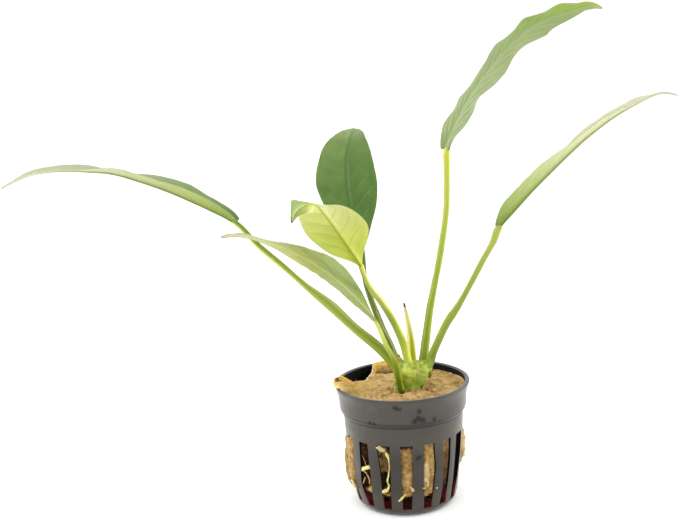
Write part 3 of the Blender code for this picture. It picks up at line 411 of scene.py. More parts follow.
ROOTS = {
    # Stations as azimuths from the front in degrees, radii in mm and heights in mm; the root's radii along
    # it in mm; how tan it is; and the solids it stands for
    "root_front_skin": (((-23.3, 22.6, 28.5), (-20.4, 23.1, 27.6), (-19.2, 22.8, 25.6), (-18.9, 22.3, 23.3),
                         (-19.5, 22.3, 20.7), (-21.0, 22.1, 18.0), (-22.9, 21.5, 15.6), (-21.2, 21.5, 13.8),
                         (-22.3, 21.6, 12.4), (-27.4, 20.9, 11.0)),
                        (0.5, 0.55, 0.36, 0.25, 0.24, 0.3, 0.38, 0.4, 0.45, 0.5), 0.0, ("root_front",)),
    "root_front_left_skin": (((-63.0, 21.1, 16.6), (-52.9, 22.1, 18.8), (-46.5, 22.6, 20.1),
                              (-42.6, 22.5, 20.7), (-42.0, 21.5, 19.8)),
                             (0.45, 0.55, 0.7, 0.78, 0.6), 0.0, ("root_front_left",)),
    "root_curled": (((-55.4, 21.6, 17.4), (-49.6, 21.9, 17.5), (-46.6, 21.9, 16.3), (-46.1, 21.3, 14.5),
                     (-49.5, 20.5, 11.9)), (0.22, 0.28, 0.3, 0.3, 0.2), 0.75, ()),
    "root_strand": (((-53.9, 22.2, 24.6), (-50.7, 22.3, 23.3), (-48.3, 22.3, 21.8), (-47.0, 22.2, 20.2)),
                    (0.12, 0.17, 0.17, 0.14), 1.0, ()),
    "root_edge": (((-52.9, 21.3, 15.1), (-55.4, 21.3, 13.4), (-59.5, 21.0, 11.2), (-64.9, 20.3, 8.7)),
                  (0.2, 0.24, 0.22, 0.16), 0.4, ()),
    "root_crossing": (((-30.4, 20.9, 10.0), (-26.3, 21.7, 11.2), (-21.3, 21.9, 12.1)), (0.5, 0.66, 0.6),
                      0.15, ()),
    "root_tip_front": (((-2.6, 19.6, 10.2), (-6.2, 21.4, 9.2), (-9.2, 21.9, 8.0), (-12.0, 21.3, 7.0)),
                       (0.3, 0.4, 0.42, 0.32), 0.25, ()),
}
# Tufts of wool that hang out of the slots, in the same terms, with how pale they are last
TUFTS = {
    "tuft_slot_top": (((-32.0, 23.4, 30.1), (-27.9, 23.8, 30.2), (-24.6, 23.8, 29.9), (-21.5, 23.1, 29.2)),
                      (0.35, 0.7, 0.85, 0.6), 0.45),
    "tuft_front_foot": (((0.6, 21.0, 13.6), (3.4, 21.7, 12.4), (5.6, 21.3, 11.0)), (0.5, 0.66, 0.5), 0.4),
    "tuft_left_foot": (((-74.2, 23.5, 11.7), (-68.6, 23.4, 10.6), (-70.8, 22.0, 8.0)), (0.5, 0.6, 0.5), 0.9),
    "tuft_slot1_left": (((18.8, 21.0, 11.8), (15.6, 21.8, 12.3), (14.4, 21.5, 12.4)), (0.3, 0.34, 0.2), 0.6),
    "tuft_slot1_right": (((29.0, 20.9, 11.6), (31.2, 21.8, 11.2), (32.6, 21.6, 10.8)), (0.3, 0.34, 0.24),
                         0.9),
    "tuft_right": (((91.2, 22.8, 18.6), (91.2, 24.4, 17.4), (91.1, 25.0, 16.2)), (0.8, 0.9, 0.6), 1.0),
}

IMAGE_WIDTH_PX = 680
FOCAL_LENGTH_PX = 1500
SENSOR_WIDTH_MM = 36.0
FLOOR_HALF_WIDTH = 12.0
CAMERA_PLACE = (-0.0226, -0.5831, 0.2411)
CAMERA_PITCH = math.radians(13.37)
CAMERA_ROLL = math.radians(-3.05)
LIGHTS = (                      # name, place, size and power of each
    ("left", (-0.95, 0.25, 0.55), 0.6, 7.0),
    ("right", (0.95, 0.20, 0.50), 0.6, 7.0),
    ("top", (-0.15, -0.25, 1.2), 0.8, 3.0),
)
LIGHT_AIM = (0, 0, 0.08)
WORLD_STRENGTH = 1.08


def srgb(colour):
    """A colour given as 0 to 255 sRGB values, as the linear values that a shader takes."""
    linear = [(c / 255 / 12.92) if c <= 10 else ((c / 255 + 0.055) / 1.055) ** 2.4 for c in colour]
    return (*linear, 1.0)


class Graph:
    """A material with short names for the nodes that its shader is built from."""

    def __init__(self, name, roughness, flesh=None, **constants):
        """flesh is how strongly and how far in mm light spreads inside, and its colour."""
        self.material = bpy.data.materials.new(name)
        self.material.use_nodes = True
        self.tree = self.material.node_tree
        self.shader = self.tree.nodes["Principled BSDF"]
        self.shader.inputs["Roughness"].default_value = roughness
        if flesh:
            weight, scale_mm, radius = flesh
            constants.update(Subsurface_Weight=weight, Subsurface_Scale=scale_mm * MM,
                             Subsurface_Radius=radius)
        for socket, value in constants.items():
            self.shader.inputs[socket.replace("_", " ")].default_value = value
        self.place = self.node("TexCoord").outputs["Object"]

    def node(self, kind, **settings):
        made = self.tree.nodes.new("ShaderNode" + kind)
        for key, value in settings.items():
            setattr(made, key, value)
        return made

    def feed(self, target, source):
        if isinstance(source, bpy.types.NodeSocket):
            self.tree.links.new(source, target)
        else:
            target.default_value = source

    def set(self, socket, source):
        self.feed(self.shader.inputs[socket], source)

    def math(self, operation, a, b=0.0, c=0.0):
        made = self.node("Math", operation=operation)
        for target, source in zip(made.inputs, (a, b, c)):
            self.feed(target, source)
        return made.outputs[0]

    def times(self, a, b):
        return self.math("MULTIPLY", a, b)

    def plus(self, a, b):
        return self.math("ADD", a, b)

    def scaled(self, value, factor, start):
        return self.math("MULTIPLY_ADD", value, factor, start)

    def axis(self, index):
        """One of the place's coordinates, 0 for X to 2 for Z."""
        made = self.node("SeparateXYZ")
        self.feed(made.inputs[0], self.place)
        return made.outputs[index]

    def step(self, value, low, high):
        """0 below low, 1 above high, smooth between. Falls instead when low is over high."""
        made = self.node("MapRange", interpolation_type="SMOOTHSTEP")
        rising = low < high
        ends = (low, high, 0.0, 1.0) if rising else (high, low, 1.0, 0.0)
        for name, source in zip(("Value", "From Min", "From Max", "To Min", "To Max"), (value, *ends)):
            self.feed(made.inputs[name], source)
        return made.outputs["Result"]

    def mix(self, share, a, b, blend="MIX"):
        made = self.node("Mix", data_type="RGBA", blend_type=blend)
        self.feed(made.inputs[0], share)
        self.feed(made.inputs[6], a)
        self.feed(made.inputs[7], b)
        return made.outputs[2]

    def ramp(self, value, colours):
        """Colours spread evenly over 0 to 1."""
        made = self.node("ValToRGB")
        made.color_ramp.interpolation = "B_SPLINE"
        points = made.color_ramp.elements
        for i, colour in enumerate(colours):
            position = i / (len(colours) - 1)
            if i < 2:
                point = points[i]
                point.position = position
            else:
                point = points.new(position)
            point.color = srgb(colour)
        self.feed(made.inputs[0], value)
        return made.outputs[0]

    def attribute(self, name):
        return self.node("Attribute", attribute_type="GEOMETRY", attribute_name=name).outputs["Fac"]

    def noise(self, scale, detail=3.0, roughness=0.55, where=None, distortion=0.0):
        made = self.node("TexNoise")
        self.feed(made.inputs["Vector"], self.place if where is None else where)
        for socket, value in (("Scale", scale), ("Detail", detail), ("Roughness", roughness),
                              ("Distortion", distortion)):
            made.inputs[socket].default_value = value
        return made.outputs["Fac"]

    def stretched(self, x, y, z):
        """The place, scaled by its own factor on each axis."""
        made = self.node("VectorMath", operation="MULTIPLY")
        self.feed(made.inputs[0], self.place)
        made.inputs[1].default_value = (x, y, z)
        return made.outputs[0]

    def vector(self, x, y):
        made = self.node("CombineXYZ")
        self.feed(made.inputs[0], x)
        self.feed(made.inputs[1], y)
        return made.outputs[0]

    def spot(self, place_mm, radius_mm, wobble, core=1.1, ragged=1.0):
        """1 in a ragged spot round a place, 0 outside it. A smaller core gives it a softer edge."""
        made = self.node("VectorMath", operation="DISTANCE")
        self.feed(made.inputs[0], self.place)
        made.inputs[1].default_value = Vector(place_mm) * MM
        level = self.scaled(wobble, radius_mm * ragged * MM, made.outputs["Value"])
        shift = 0.5 * (ragged - 1.0)
        return self.step(level, radius_mm * (1.7 + shift) * MM, radius_mm * (core + shift) * MM)

    def bump(self, height, distance, strength=1.0, before=None):
        made = self.node("Bump")
        self.feed(made.inputs["Height"], height)
        made.inputs["Distance"].default_value = distance
        made.inputs["Strength"].default_value = strength
        if before is not None:
            self.feed(made.inputs["Normal"], before)
        self.set("Normal", made.outputs["Normal"])
        return made.outputs["Normal"]


def pot_material():
    """Grey-black plastic, dusty, darker between the slots, with painted shade under the collar and dark
    scuffs.
    """
    g = Graph("pot_plastic", 0.42, Specular_IOR_Level=0.3, Sheen_Weight=0.42, Sheen_Roughness=0.36)
    colour = g.ramp(g.noise(45, 4), ((56, 52, 47), (64, 60, 54), (73, 68, 61)))
    dust = g.step(g.noise(160, 5, 0.7), 0.56, 0.75)
    colour = g.mix(g.times(dust, 0.28), colour, srgb((104, 98, 89)))
    z = g.axis(2)
    ribs = g.times(g.step(z, 33 * MM, 24 * MM), g.scaled(g.step(z, 7 * MM, 12 * MM), 0.6, 0.4))
    colour = g.mix(g.times(ribs, 0.5), colour, srgb((28, 20, 12)))
    # Painted shade in the crease under the collar, which is also made rougher
    collar_painted_shade = g.times(g.step(z, 38.2 * MM, 38.9 * MM), g.step(z, 41.8 * MM, 40 * MM))
    colour = g.mix(g.times(collar_painted_shade, 0.55), colour, srgb((14, 13, 11)))
    foot = g.step(z, 2.4 * MM, 0.6 * MM)
    colour = g.mix(g.times(foot, 0.65), colour, srgb((20, 18, 16)))
    wobble = g.noise(900, 4, 0.8)
    for place_mm, radius_mm in POT_SCUFFS_MM:
        spot = g.times(g.spot(place_mm, radius_mm * 1.1, wobble, 1.0, 3.2), 0.95)
        colour = g.mix(spot, colour, srgb((5, 5, 7)))
    g.set("Base Color", colour)
    g.set("Roughness", g.scaled(collar_painted_shade, 0.5, g.scaled(g.noise(220, 4), 0.22, 0.34)))
    streaks = g.noise(1.0, 3, where=g.stretched(60, 60, 900))
    g.bump(g.plus(g.times(g.noise(900, 2), 0.4), streaks), 0.05 * MM, 0.5)
    return g.material


def dark_inside_material():
    """The pot's inside, painted near black as its shade, and redder low down where the wet wool stains it."""
    g = Graph("pot_inside", 0.7, Specular_IOR_Level=0.12)
    grain = g.noise(300, 4)
    # Near black: painted shade of the pot's inside
    black = g.ramp(grain, ((3, 3, 3), (7, 7, 6), (13, 12, 10)))
    maroon = g.ramp(grain, ((70, 24, 20), (112, 38, 32), (138, 54, 46)))
    g.set("Base Color", g.mix(g.step(g.axis(2), 11 * MM, 6 * MM), black, maroon))
    g.bump(g.noise(700, 3), 0.1 * MM, 0.5)
    return g.material


def wool_material(name, warm=0.0):
    """Rock wool: matted mineral fibre, cream to tan, stained orange-brown where it is torn."""
    g = Graph(name, 0.95, Specular_IOR_Level=0.12)
    grain = g.step(g.noise(1500, 3, 0.6), 0.30, 0.70)
    fine = g.step(g.noise(620, 4, 0.6), 0.30, 0.70)
    blotch = g.step(g.noise(300, 3, 0.55), 0.32, 0.68)
    colour = g.ramp(fine, ((136, 100, 50), (178, 144, 84), (206, 176, 114)))
    colour = g.mix(0.5, colour, g.ramp(blotch, ((118, 84, 40), (184, 150, 88), (226, 200, 146))))
    colour = g.mix(0.22, colour, g.ramp(grain, ((100, 72, 38), (180, 150, 98), (228, 206, 160))))
    colour = g.mix(g.times(g.step(g.noise(90, 3), 0.52, 0.66), 0.45), colour, srgb((206, 172, 112)))
    speckle = g.times(g.step(g.noise(420, 4, 0.65), 0.54, 0.68), 0.42)
    colour = g.mix(speckle, colour, srgb((112, 78, 34)))
    # The plug's top has painted shade to the right and is golden to the left, and its sides are darker
    z = g.axis(2)
    top = g.step(z, 44 * MM, 47 * MM)
    x = g.scaled(g.noise(160, 3), 8 * MM, g.axis(0))
    shaded = g.times(g.step(x, -4 * MM, 14 * MM), top)
    colour = g.mix(g.times(shaded, 0.6), colour, srgb((226, 222, 214)), "MULTIPLY")
    golden = g.times(g.step(x, -5 * MM, -17 * MM), top)
    colour = g.mix(g.times(golden, 0.36), colour, srgb((222, 186, 108)))
    pinkish = g.step(g.noise(150, 3), 0.53, 0.62)
    colour = g.mix(g.times(pinkish, 0.35), colour, srgb((208, 160, 116)))
    olive = g.step(g.noise(210, 3), 0.58, 0.66)
    colour = g.mix(g.times(olive, 0.4), colour, srgb((206, 188, 100)))
    colour = g.mix(g.step(z, 47 * MM, 40 * MM), colour, srgb((233, 225, 223)), "MULTIPLY")
    orange = g.ramp(fine, ((150, 104, 26), (204, 158, 62), (226, 190, 100)))
    colour = g.mix(g.attribute("orange"), colour, orange)
    # The cream value is partly paler wool and partly painted highlight along torn edges and on the tops of
    # lumps
    cream = g.ramp(fine, ((200, 174, 118), (232, 214, 164), (246, 238, 206)))
    colour = g.mix(g.attribute("cream"), colour, cream)
    # The dark value is mostly painted shade: in the slots' hollows, the tears, the torn hole, under the back
    # flap and under the plug; a little of it is the wool's own dark patches
    dark = g.ramp(fine, ((10, 5, 3), (30, 14, 7), (66, 38, 18)))
    colour = g.mix(g.attribute("dark"), colour, dark)
    colour = g.mix(warm, colour, srgb((214, 184, 126)))
    g.set("Base Color", colour)
    fibres = g.noise(1.0, 3, 0.6, where=g.stretched(500, 500, 1400), distortion=1.5)
    g.bump(g.plus(fibres, grain), 0.25 * MM, 0.7)
    return g.material


def rhizome_material():
    """Pale green skin with patches of other tints, the darkest of them painted shadow, and the brown rings of
    old leaves.
    """
    g = Graph("rhizome", 0.42, (0.2, 1.2, (1.0, 0.9, 0.35)), Specular_IOR_Level=0.3)
    colour = g.ramp(g.step(g.noise(260, 4, 0.6), 0.3, 0.7), ((136, 158, 48), (166, 182, 68), (196, 206, 98)))
    wobble = g.noise(500, 3, 0.7)
    for place_mm, radius_mm, tint, strength in RHIZOME_TINTS:
        spot = g.times(g.spot(place_mm, radius_mm * 1.15, wobble, 0.5), strength)
        colour = g.mix(spot, colour, srgb(tint))
    mottle = g.noise(900, 4, 0.7)
    colour = g.mix(0.45, colour, g.ramp(mottle, ((60, 64, 40), (150, 150, 130), (232, 232, 190))), "OVERLAY")
    scar = g.attribute("scar")
    colour = g.mix(g.times(scar, 0.6), colour, srgb((140, 118, 54)))
    g.set("Base Color", colour)
    g.set("Roughness", g.scaled(g.noise(300, 3), 0.25, 0.3))
    g.bump(g.plus(g.noise(900, 4), g.times(scar, -0.8)), 0.12 * MM, 0.7)
    return g.material


def stalk_material(name, upper, lower):
    """A leaf stalk: a colour along its upper side and one along its lower side, partly painted highlight and
    shade, with fine long streaks.
    """
    g = Graph(name, 0.36, (0.1, *LEAF_FLESH), Specular_IOR_Level=0.3)
    along, over = g.attribute("along"), g.attribute("over")
    wobble = g.scaled(g.noise(260, 3), 0.5, -0.25)
    share = g.step(g.plus(over, wobble), -0.45, 0.55)
    colour = g.mix(share, g.ramp(along, lower), g.ramp(along, upper))
    streaks = g.noise(1.0, 3, 0.6, where=g.vector(g.times(along, 14.0), g.times(over, 9.0)))
    fine = g.ramp(streaks, ((110, 130, 90), (160, 170, 140), (225, 230, 190)))
    colour = g.mix(0.30, colour, fine, "OVERLAY")
    g.set("Base Color", colour)
    g.set("Roughness", g.scaled(g.noise(400, 3), 0.2, 0.26))
    g.bump(g.plus(streaks, g.times(g.noise(1500, 2), 0.3)), 0.08 * MM, 0.6)
    return g.material


def blade_material(name, look, under):
    """One side of a leaf blade: colours along each half, with painted sheen in their pale stretches, a
    midrib, arching side veins and margins.
    """
    g = Graph(name, 0.4, (0.12, *LEAF_FLESH), Specular_IOR_Level=0.28)
    along, across = g.attribute("along"), g.attribute("across")
    off, inset = g.attribute("off"), g.attribute("inset")
    out = g.math("ABSOLUTE", across)
    colour = g.mix(g.step(across, -0.06, 0.06), g.ramp(along, look["left"]), g.ramp(along, look["right"]))
    vein_colour, vein_strength, vein_count = look["vein"]
    bend = g.times(g.math("POWER", out, VEIN_POWER), VEIN_REACH)
    wobble = g.scaled(g.noise(90, 2), 0.05, -0.025)
    halves = g.times(g.step(across, -0.01, 0.01), VEIN_SHIFT / vein_count)
    arched = g.plus(g.plus(g.math("SUBTRACT", along, bend), wobble), halves)

    def veins(count, low, high):
        phase = g.math("FRACT", g.times(arched, count))
        return g.step(g.math("ABSOLUTE", g.math("SUBTRACT", phase, 0.5)), high, low)

    fade = g.times(g.step(out, 1.0, 0.55), g.step(along, 1.0, 0.8))
    main = g.times(veins(vein_count, 0.0, 0.11), fade)
    minor = g.times(veins(vein_count * 5.0, 0.05, 0.45), 0.35)
    shown = g.times(g.math("MAXIMUM", main, minor), vein_strength)
    colour = g.mix(shown, colour, srgb(vein_colour))
    streaks = g.noise(1.0, 4, 0.6, where=g.vector(g.times(arched, 26.0), g.times(across, 3.0)))
    fine = g.ramp(streaks, ((96, 112, 84), (150, 158, 140), (214, 220, 196)))
    colour = g.mix(0.22, colour, fine, "OVERLAY")
    mottle = g.noise(150, 5, 0.7)
    colour = g.mix(look.get("mottle", 0.25), colour,
                   g.ramp(mottle, ((92, 108, 80), (150, 156, 144), (214, 216, 190))), "OVERLAY")
    margin_colour, margin_strength = look["margin"]
    edge = g.times(g.step(inset, 0.55, 0.05), margin_strength)
    colour = g.mix(edge, colour, srgb(margin_colour))
    reach = look.get("rib_mm", 1.0)
    rib = g.times(g.step(off, reach, reach * 0.45), g.step(along, 1.02, 0.7))
    colour = g.mix(g.times(rib, 0.85), colour, g.ramp(along, look["midrib"]))
    if name.startswith("young_front"):
        # The tip is dry
        colour = g.mix(g.step(along, 0.965, 0.99), colour, srgb((60, 62, 30)))
    g.set("Base Color", colour)
    g.set("Roughness", g.scaled(mottle, 0.18, 0.40 if under else 0.30))
    relief = g.scaled(main, 1.0 if under else -1.0, g.times(minor, 0.5))
    skin = g.bump(g.noise(1800, 2), 0.03 * MM, 0.5)
    g.bump(g.plus(relief, g.times(streaks, 0.5)), 0.12 * MM, 0.6, before=skin)
    return g.material


def spike_material():
    """The rolled new leaf: pale, with an olive stripe to the front and a dry brown point."""
    g = Graph("new_leaf", 0.4, (0.12, *LEAF_FLESH), Specular_IOR_Level=0.3)
    along, over = g.attribute("along"), g.attribute("over")
    pale = g.ramp(along, ((190, 205, 80), (206, 218, 120), (222, 228, 158), (228, 222, 176), (196, 178, 142)))
    ochre = g.ramp(along, ((150, 160, 20), (150, 152, 14), (156, 154, 26), (208, 200, 138), (170, 146, 112)))
    wobble = g.scaled(g.noise(400, 3), 0.12, -0.06)
    colour = g.mix(g.step(g.plus(over, wobble), 0.80, 0.94), pale, ochre)
    dry = g.step(g.plus(along, g.times(g.noise(500), 0.04)), 0.93, 0.985)
    colour = g.mix(dry, colour, srgb((60, 40, 34)))
    g.set("Base Color", colour)
    g.set("Roughness", g.scaled(dry, 0.3, 0.38))
    streaks = g.noise(1.0, 3, where=g.vector(g.times(along, 6.0), g.times(over, 12.0)))
    g.bump(streaks, 0.1 * MM, 0.6)
    return g.material


def root_material():
    """A pale root, tan where the tan value says so and browner at its far end."""
    g = Graph("root", 0.55, (0.1, 0.6, (1.0, 0.9, 0.4)), Specular_IOR_Level=0.3)
    along = g.attribute("along")
    colour = g.ramp(g.noise(420, 4), ((176, 156, 76), (222, 206, 124), (250, 244, 190)))
    tan = g.ramp(g.noise(420, 4), ((120, 84, 36), (170, 132, 72), (204, 170, 112)))
    colour = g.mix(g.attribute("tan"), colour, tan)
    brown = g.step(g.plus(along, g.times(g.noise(400), 0.5)), 1.12, 1.3)
    colour = g.mix(g.times(brown, 0.6), colour, srgb((170, 116, 52)))
    g.set("Base Color", colour)
    g.bump(g.noise(900, 4), 0.12 * MM, 0.7)
    return g.material


def floor_material():
    g = Graph("white_paper", 0.7, Specular_IOR_Level=0.1)
    g.set("Base Color", g.ramp(g.noise(3, 3), ((250, 250, 249), (252, 252, 251))))
    return g.material


def add_object(name, data):
    made = bpy.data.objects.new(name, data)
    bpy.context.scene.collection.objects.link(made)
    return made


def add_piece(name, points, faces, materials, nodes=(), values=None, face_materials=None,
              sharp_deg=45):
    """Make a piece of the plant from points in metres, with named values at its points."""
    mesh = bpy.data.meshes.new(name)
    mesh.from_pydata([tuple(p) for p in points], [], faces)
    for finish in materials:
        mesh.materials.append(finish)
    if face_materials is not None:
        mesh.polygons.foreach_set("material_index", np.asarray(face_materials, np.int32))
    for key, numbers in (values or {}).items():
        made = mesh.attributes.new(key, "FLOAT", "POINT")
        made.data.foreach_set("value", np.asarray(numbers, np.float32))
    mesh.validate()
    shape = bmesh.new()
    shape.from_mesh(mesh)
    bmesh.ops.recalc_face_normals(shape, faces=shape.faces)
    shape.to_mesh(mesh)
    shape.free()
    mesh.shade_smooth()
    mesh.set_sharp_from_angle(angle=math.radians(sharp_deg))
    piece = add_object(name, mesh)
    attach(piece, "root")
    if nodes:
        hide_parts(*nodes)
    return piece


def grid_faces(rows, columns, closed, first=0):
    """Quads between rows of points, round each row when closed."""
    faces = []
    for i in range(rows - 1):
        for j in range(columns if closed else columns - 1):
            k = (j + 1) % columns
            low, high = first + i * columns, first + (i + 1) * columns
            faces.append((low + j, low + k, high + k, high + j))
    return faces


def cap_faces(row, columns, middle, turned):
    """Triangles from a closed row of points to one middle point."""
    start = row * columns
    pairs = ((start + j, start + (j + 1) % columns) for j in range(columns))
    return [(b, a, middle) if turned else (a, b, middle) for a, b in pairs]


def smooth_step(low, high, value):
    share = min(max((value - low) / (high - low), 0.0), 1.0)
    return share * share * (3 - 2 * share)


def angle_between(a, b):
    return abs((a - b + math.pi) % math.tau - math.pi)


def on_circle(azimuth, radius, height):
    """A point at an azimuth counted from the front, -Y, towards +X."""
    return Vector((radius * math.sin(azimuth), -radius * math.cos(azimuth), height))


def smooth_curve(points):
    """A dense smooth curve through points, with CURVE_STEPS points from each to the next."""
    points = [np.array(p, float) for p in points]
    points = [2 * points[0] - points[1]] + points + [2 * points[-1] - points[-2]]
    dense = []
    for a, b, c, d in zip(points, points[1:], points[2:], points[3:]):
        for i in range(CURVE_STEPS):
            t = i / CURVE_STEPS
            dense.append(0.5 * (2 * b + (c - a) * t + (2 * a - 5 * b + 4 * c - d) * t ** 2
                                + (3 * b - a - 3 * c + d) * t ** 3))
    dense.append(points[-2])
    return np.array(dense)


def lengths_along(curve):
    return np.concatenate([[0.0], np.cumsum(np.linalg.norm(np.diff(curve, axis=0), axis=1))])


def evenly(curve, count, values=None):
    """Evenly spaced points on a curve, or other values that run along it."""
    along = lengths_along(curve)
    wanted = np.linspace(0.0, along[-1], count)
    values = curve if values is None else values
    return np.stack([np.interp(wanted, along, values[:, k]) for k in range(3)], axis=1)


def value_along(values, share):
    """Straight interpolation in values spread evenly from 0 to 1."""
    values = np.array(values, float)
    spread = np.linspace(0, 1, len(values))
    if values.ndim == 1:
        return float(np.interp(share, spread, values))
    return np.array([np.interp(share, spread, values[:, k]) for k in range(values.shape[1])])


def smooth_value(values, share):
    """Smooth interpolation in values spread evenly from 0 to 1."""
    curve = smooth_curve([(i, value, 0.0) for i, value in enumerate(values)])
    return float(np.interp(share * (len(values) - 1), curve[:, 0], curve[:, 1]))


def arc(centre_r, centre_z, radius, start_deg, end_deg, steps):
    angles = [math.radians(start_deg + (end_deg - start_deg) * i / steps) for i in range(steps + 1)]
    return [(centre_r + radius * math.cos(a), centre_z + radius * math.sin(a)) for a in angles]


WALL_CURVE = smooth_curve([(z, radius, 0.0) for radius, z in WALL_MM])


def wall_radius(z):
    return float(np.interp(z / MM, WALL_CURVE[:, 0], WALL_CURVE[:, 1])) * MM


def slot_edges(slot, z):
    """How far a slot's left and right edges are moved at a height."""
    rows = SLOT_EDGES_MM.get(slot)
    return [float(np.interp(z / MM, SLOT_EDGE_HEIGHTS_MM, row)) * MM for row in rows] if rows else (0.0, 0.0)


def slot_half_angle(radius, z):
    share = (min(max(z, SLOT_FOOT_Z), SLOT_TOP_Z) - SLOT_FOOT_Z) / (SLOT_TOP_Z - SLOT_FOOT_Z)
    width = SLOT_FOOT_WIDTH + share * (SLOT_TOP_WIDTH - SLOT_FOOT_WIDTH)
    return math.asin(min(width / 2 / radius, 0.5))


def drain_half_angle(radius):
    return math.asin(DRAIN_WIDTH / 2 / max(radius, DRAIN_INNER_RADIUS))


def make_pot(plastic, inside):
    """The slotted pot as one grid of rows, from the middle of its underside out, up, over the rim and
    back down inside, with the faces of slots and drain holes left out and their sides closed."""
    foot_radius = wall_radius(CORNER_RADIUS)
    corner_r = foot_radius - CORNER_REACH
    drain_radii = [DRAIN_INNER_RADIUS, 10.2 * MM, 12.3 * MM, DRAIN_OUTER_RADIUS]
    slot_heights = [SLOT_FOOT_Z + (SLOT_TOP_Z - SLOT_FOOT_Z) * i / SLOT_ROWS for i in range(SLOT_ROWS + 1)]
    rows = []                   # radius, height, half angle of the opening columns, kind

    def add(radius, z, half=None, kind=""):
        rows.append((radius, z, slot_half_angle(radius, z) if half is None else half, kind))

    for radius in (0.4 * MM, 3 * MM, 6 * MM):
        add(radius, 0.0, drain_half_angle(radius))
    for radius in drain_radii:
        add(radius, 0.0, drain_half_angle(radius), "drain")
    for i, (out, up) in enumerate(arc(0.0, 0.0, 1.0, -90, 0, CORNER_ROWS)[:-1]):
        radius, z = corner_r + CORNER_REACH * out, CORNER_RADIUS * (1 + up)
        share = i / CORNER_ROWS
        half = drain_half_angle(radius) * (1 - share) + slot_half_angle(foot_radius, z) * share
        add(radius, z, half)
    for z in slot_heights:
        add(wall_radius(z), z, kind="slot")
    for z_mm, step_mm in ((32.0, 0), (33.4, 0), (34.4, 0.05), (35.2, 0.05), (36.2, 0), (37.4, 0), (38.4, 0)):
        add(wall_radius(z_mm * MM) + step_mm * MM, z_mm * MM)
    for radius_mm, z_mm in COLLAR_OUTSIDE_MM:
        add(radius_mm * MM, z_mm * MM)
    outer_rows = len(rows)
    for radius_mm, z_mm in COLLAR_INSIDE_MM:
        add(radius_mm * MM, z_mm * MM)
    for z_mm in (38, 36, 34):
        add(wall_radius(z_mm * MM) - WALL_THICKNESS, z_mm * MM)
    for z in reversed(slot_heights):
        add(wall_radius(z) - WALL_THICKNESS, z, kind="slot")
    inner_corner = CORNER_RADIUS - WALL_THICKNESS
    foot_r = foot_radius - WALL_THICKNESS - inner_corner
    for radius, z in arc(foot_r, FLOOR_THICKNESS + inner_corner, inner_corner, -12, -90, 5):
        add(radius, z)
    for radius in reversed(drain_radii):
        add(radius, FLOOR_THICKNESS, drain_half_angle(radius), "drain")
    for radius in (6 * MM, 3 * MM, 0.4 * MM):
        add(radius, FLOOR_THICKNESS, drain_half_angle(radius))

    period = math.tau / SLOT_COUNT
    per_slot = SLOT_COLUMNS + RIB_COLUMNS
    columns = per_slot * SLOT_COUNT
    points = []
    for radius, z, half, kind in rows:
        moved = smooth_step(0.5 * MM, 3.0 * MM, z) / max(radius, 10 * MM)
        for slot in range(SLOT_COUNT):
            (left, right), beyond = slot_edges(slot, z), slot_edges((slot + 1) % SLOT_COUNT, z)[0]
            left, right, beyond = left * moved - half, half + right * moved, period - half + beyond * moved
            for j in range(per_slot):
                if j <= SLOT_COLUMNS:
                    offset = left + (right - left) * j / SLOT_COLUMNS
                else:
                    offset = right + (beyond - right) * (j - SLOT_COLUMNS) / RIB_COLUMNS
                azimuth = SLOT_TURN + slot * period + offset
                uneven = 0.10 * MM * noise.noise(on_circle(azimuth, radius, z) * 90)
                points.append(on_circle(azimuth, radius + uneven * smooth_step(0.0, 6 * MM, z), z))
    faces, looks = [], []
    openings = {}

    def is_open(i, j):
        kinds = {rows[i][3], rows[i + 1][3]}
        slot, column = divmod(j, per_slot)
        if column >= SLOT_COLUMNS:
            return False
        return kinds == {"slot"} or (kinds == {"drain"} and slot % 2 == 1)

    for i in range(len(rows) - 1):
        for j in range(columns):
            k = (j + 1) % columns
            if is_open(i, j):
                openings.setdefault((rows[i][3], i < outer_rows), set()).add(i)
                continue
            faces.append((i * columns + j, i * columns + k, (i + 1) * columns + k, (i + 1) * columns + j))
            # Faces inside the pot take the inside finish, painted near black as shade; so do the slots' sides
            # below
            looks.append(1 if i >= outer_rows - 1 else 0)
    for kind in ("slot", "drain"):
        outer = sorted(openings[(kind, True)])
        inner = sorted(openings[(kind, False)])
        count = len(outer)
        # There is a drain hole in line with every second slot
        for slot in range(1, SLOT_COUNT, 2) if kind == "drain" else range(SLOT_COUNT):
            left = slot * per_slot
            right = left + SLOT_COLUMNS
            out_first, in_last = outer[0], inner[-1] + 1
            for step in range(count):
                a, b = out_first + step, out_first + step + 1
                c, d = in_last - step, in_last - step - 1
                for column in (left, right):
                    faces.append((a * columns + column, b * columns + column,
                                  d * columns + column, c * columns + column))
                    looks.append(1 if kind == "slot" else 0)
            for a, c in ((out_first, in_last), (out_first + count, in_last - count)):
                for column in range(left, right):
                    faces.append((a * columns + column, a * columns + column + 1,
                                  c * columns + column + 1, c * columns + column))
                    looks.append(1 if kind == "slot" else 0)
    for row in (0, len(rows) - 1):
        points.append(Vector((0, 0, rows[row][1])))
        faces += cap_faces(row, columns, len(points) - 1, turned=row == 0)
        looks += [0 if row == 0 else 1] * columns
    piece = add_piece("slotted_pot", points, faces, (plastic, inside), ("pot",), face_materials=looks,
                      sharp_deg=50)
    edges = piece.modifiers.new("Softened edges", "BEVEL")
    edges.width = 0.2 * MM
    edges.segments = 2
    edges.limit_method = "ANGLE"
    edges.angle_limit = math.radians(55)
    edges.use_clamp_overlap = True


def wool_side_radius(z):
    """The plug's radius against the pot's inner wall, which widens in the collar."""
    z_mm = z / MM
    if z_mm < 39.0:
        return wall_radius(z) - WALL_THICKNESS - WOOL_GAP
    return float(np.interp(z_mm, (39.0, 42.5, 46.0, 49.0, 51.0), (23.35, 24.2, 24.7, 25.4, 25.5))) * MM


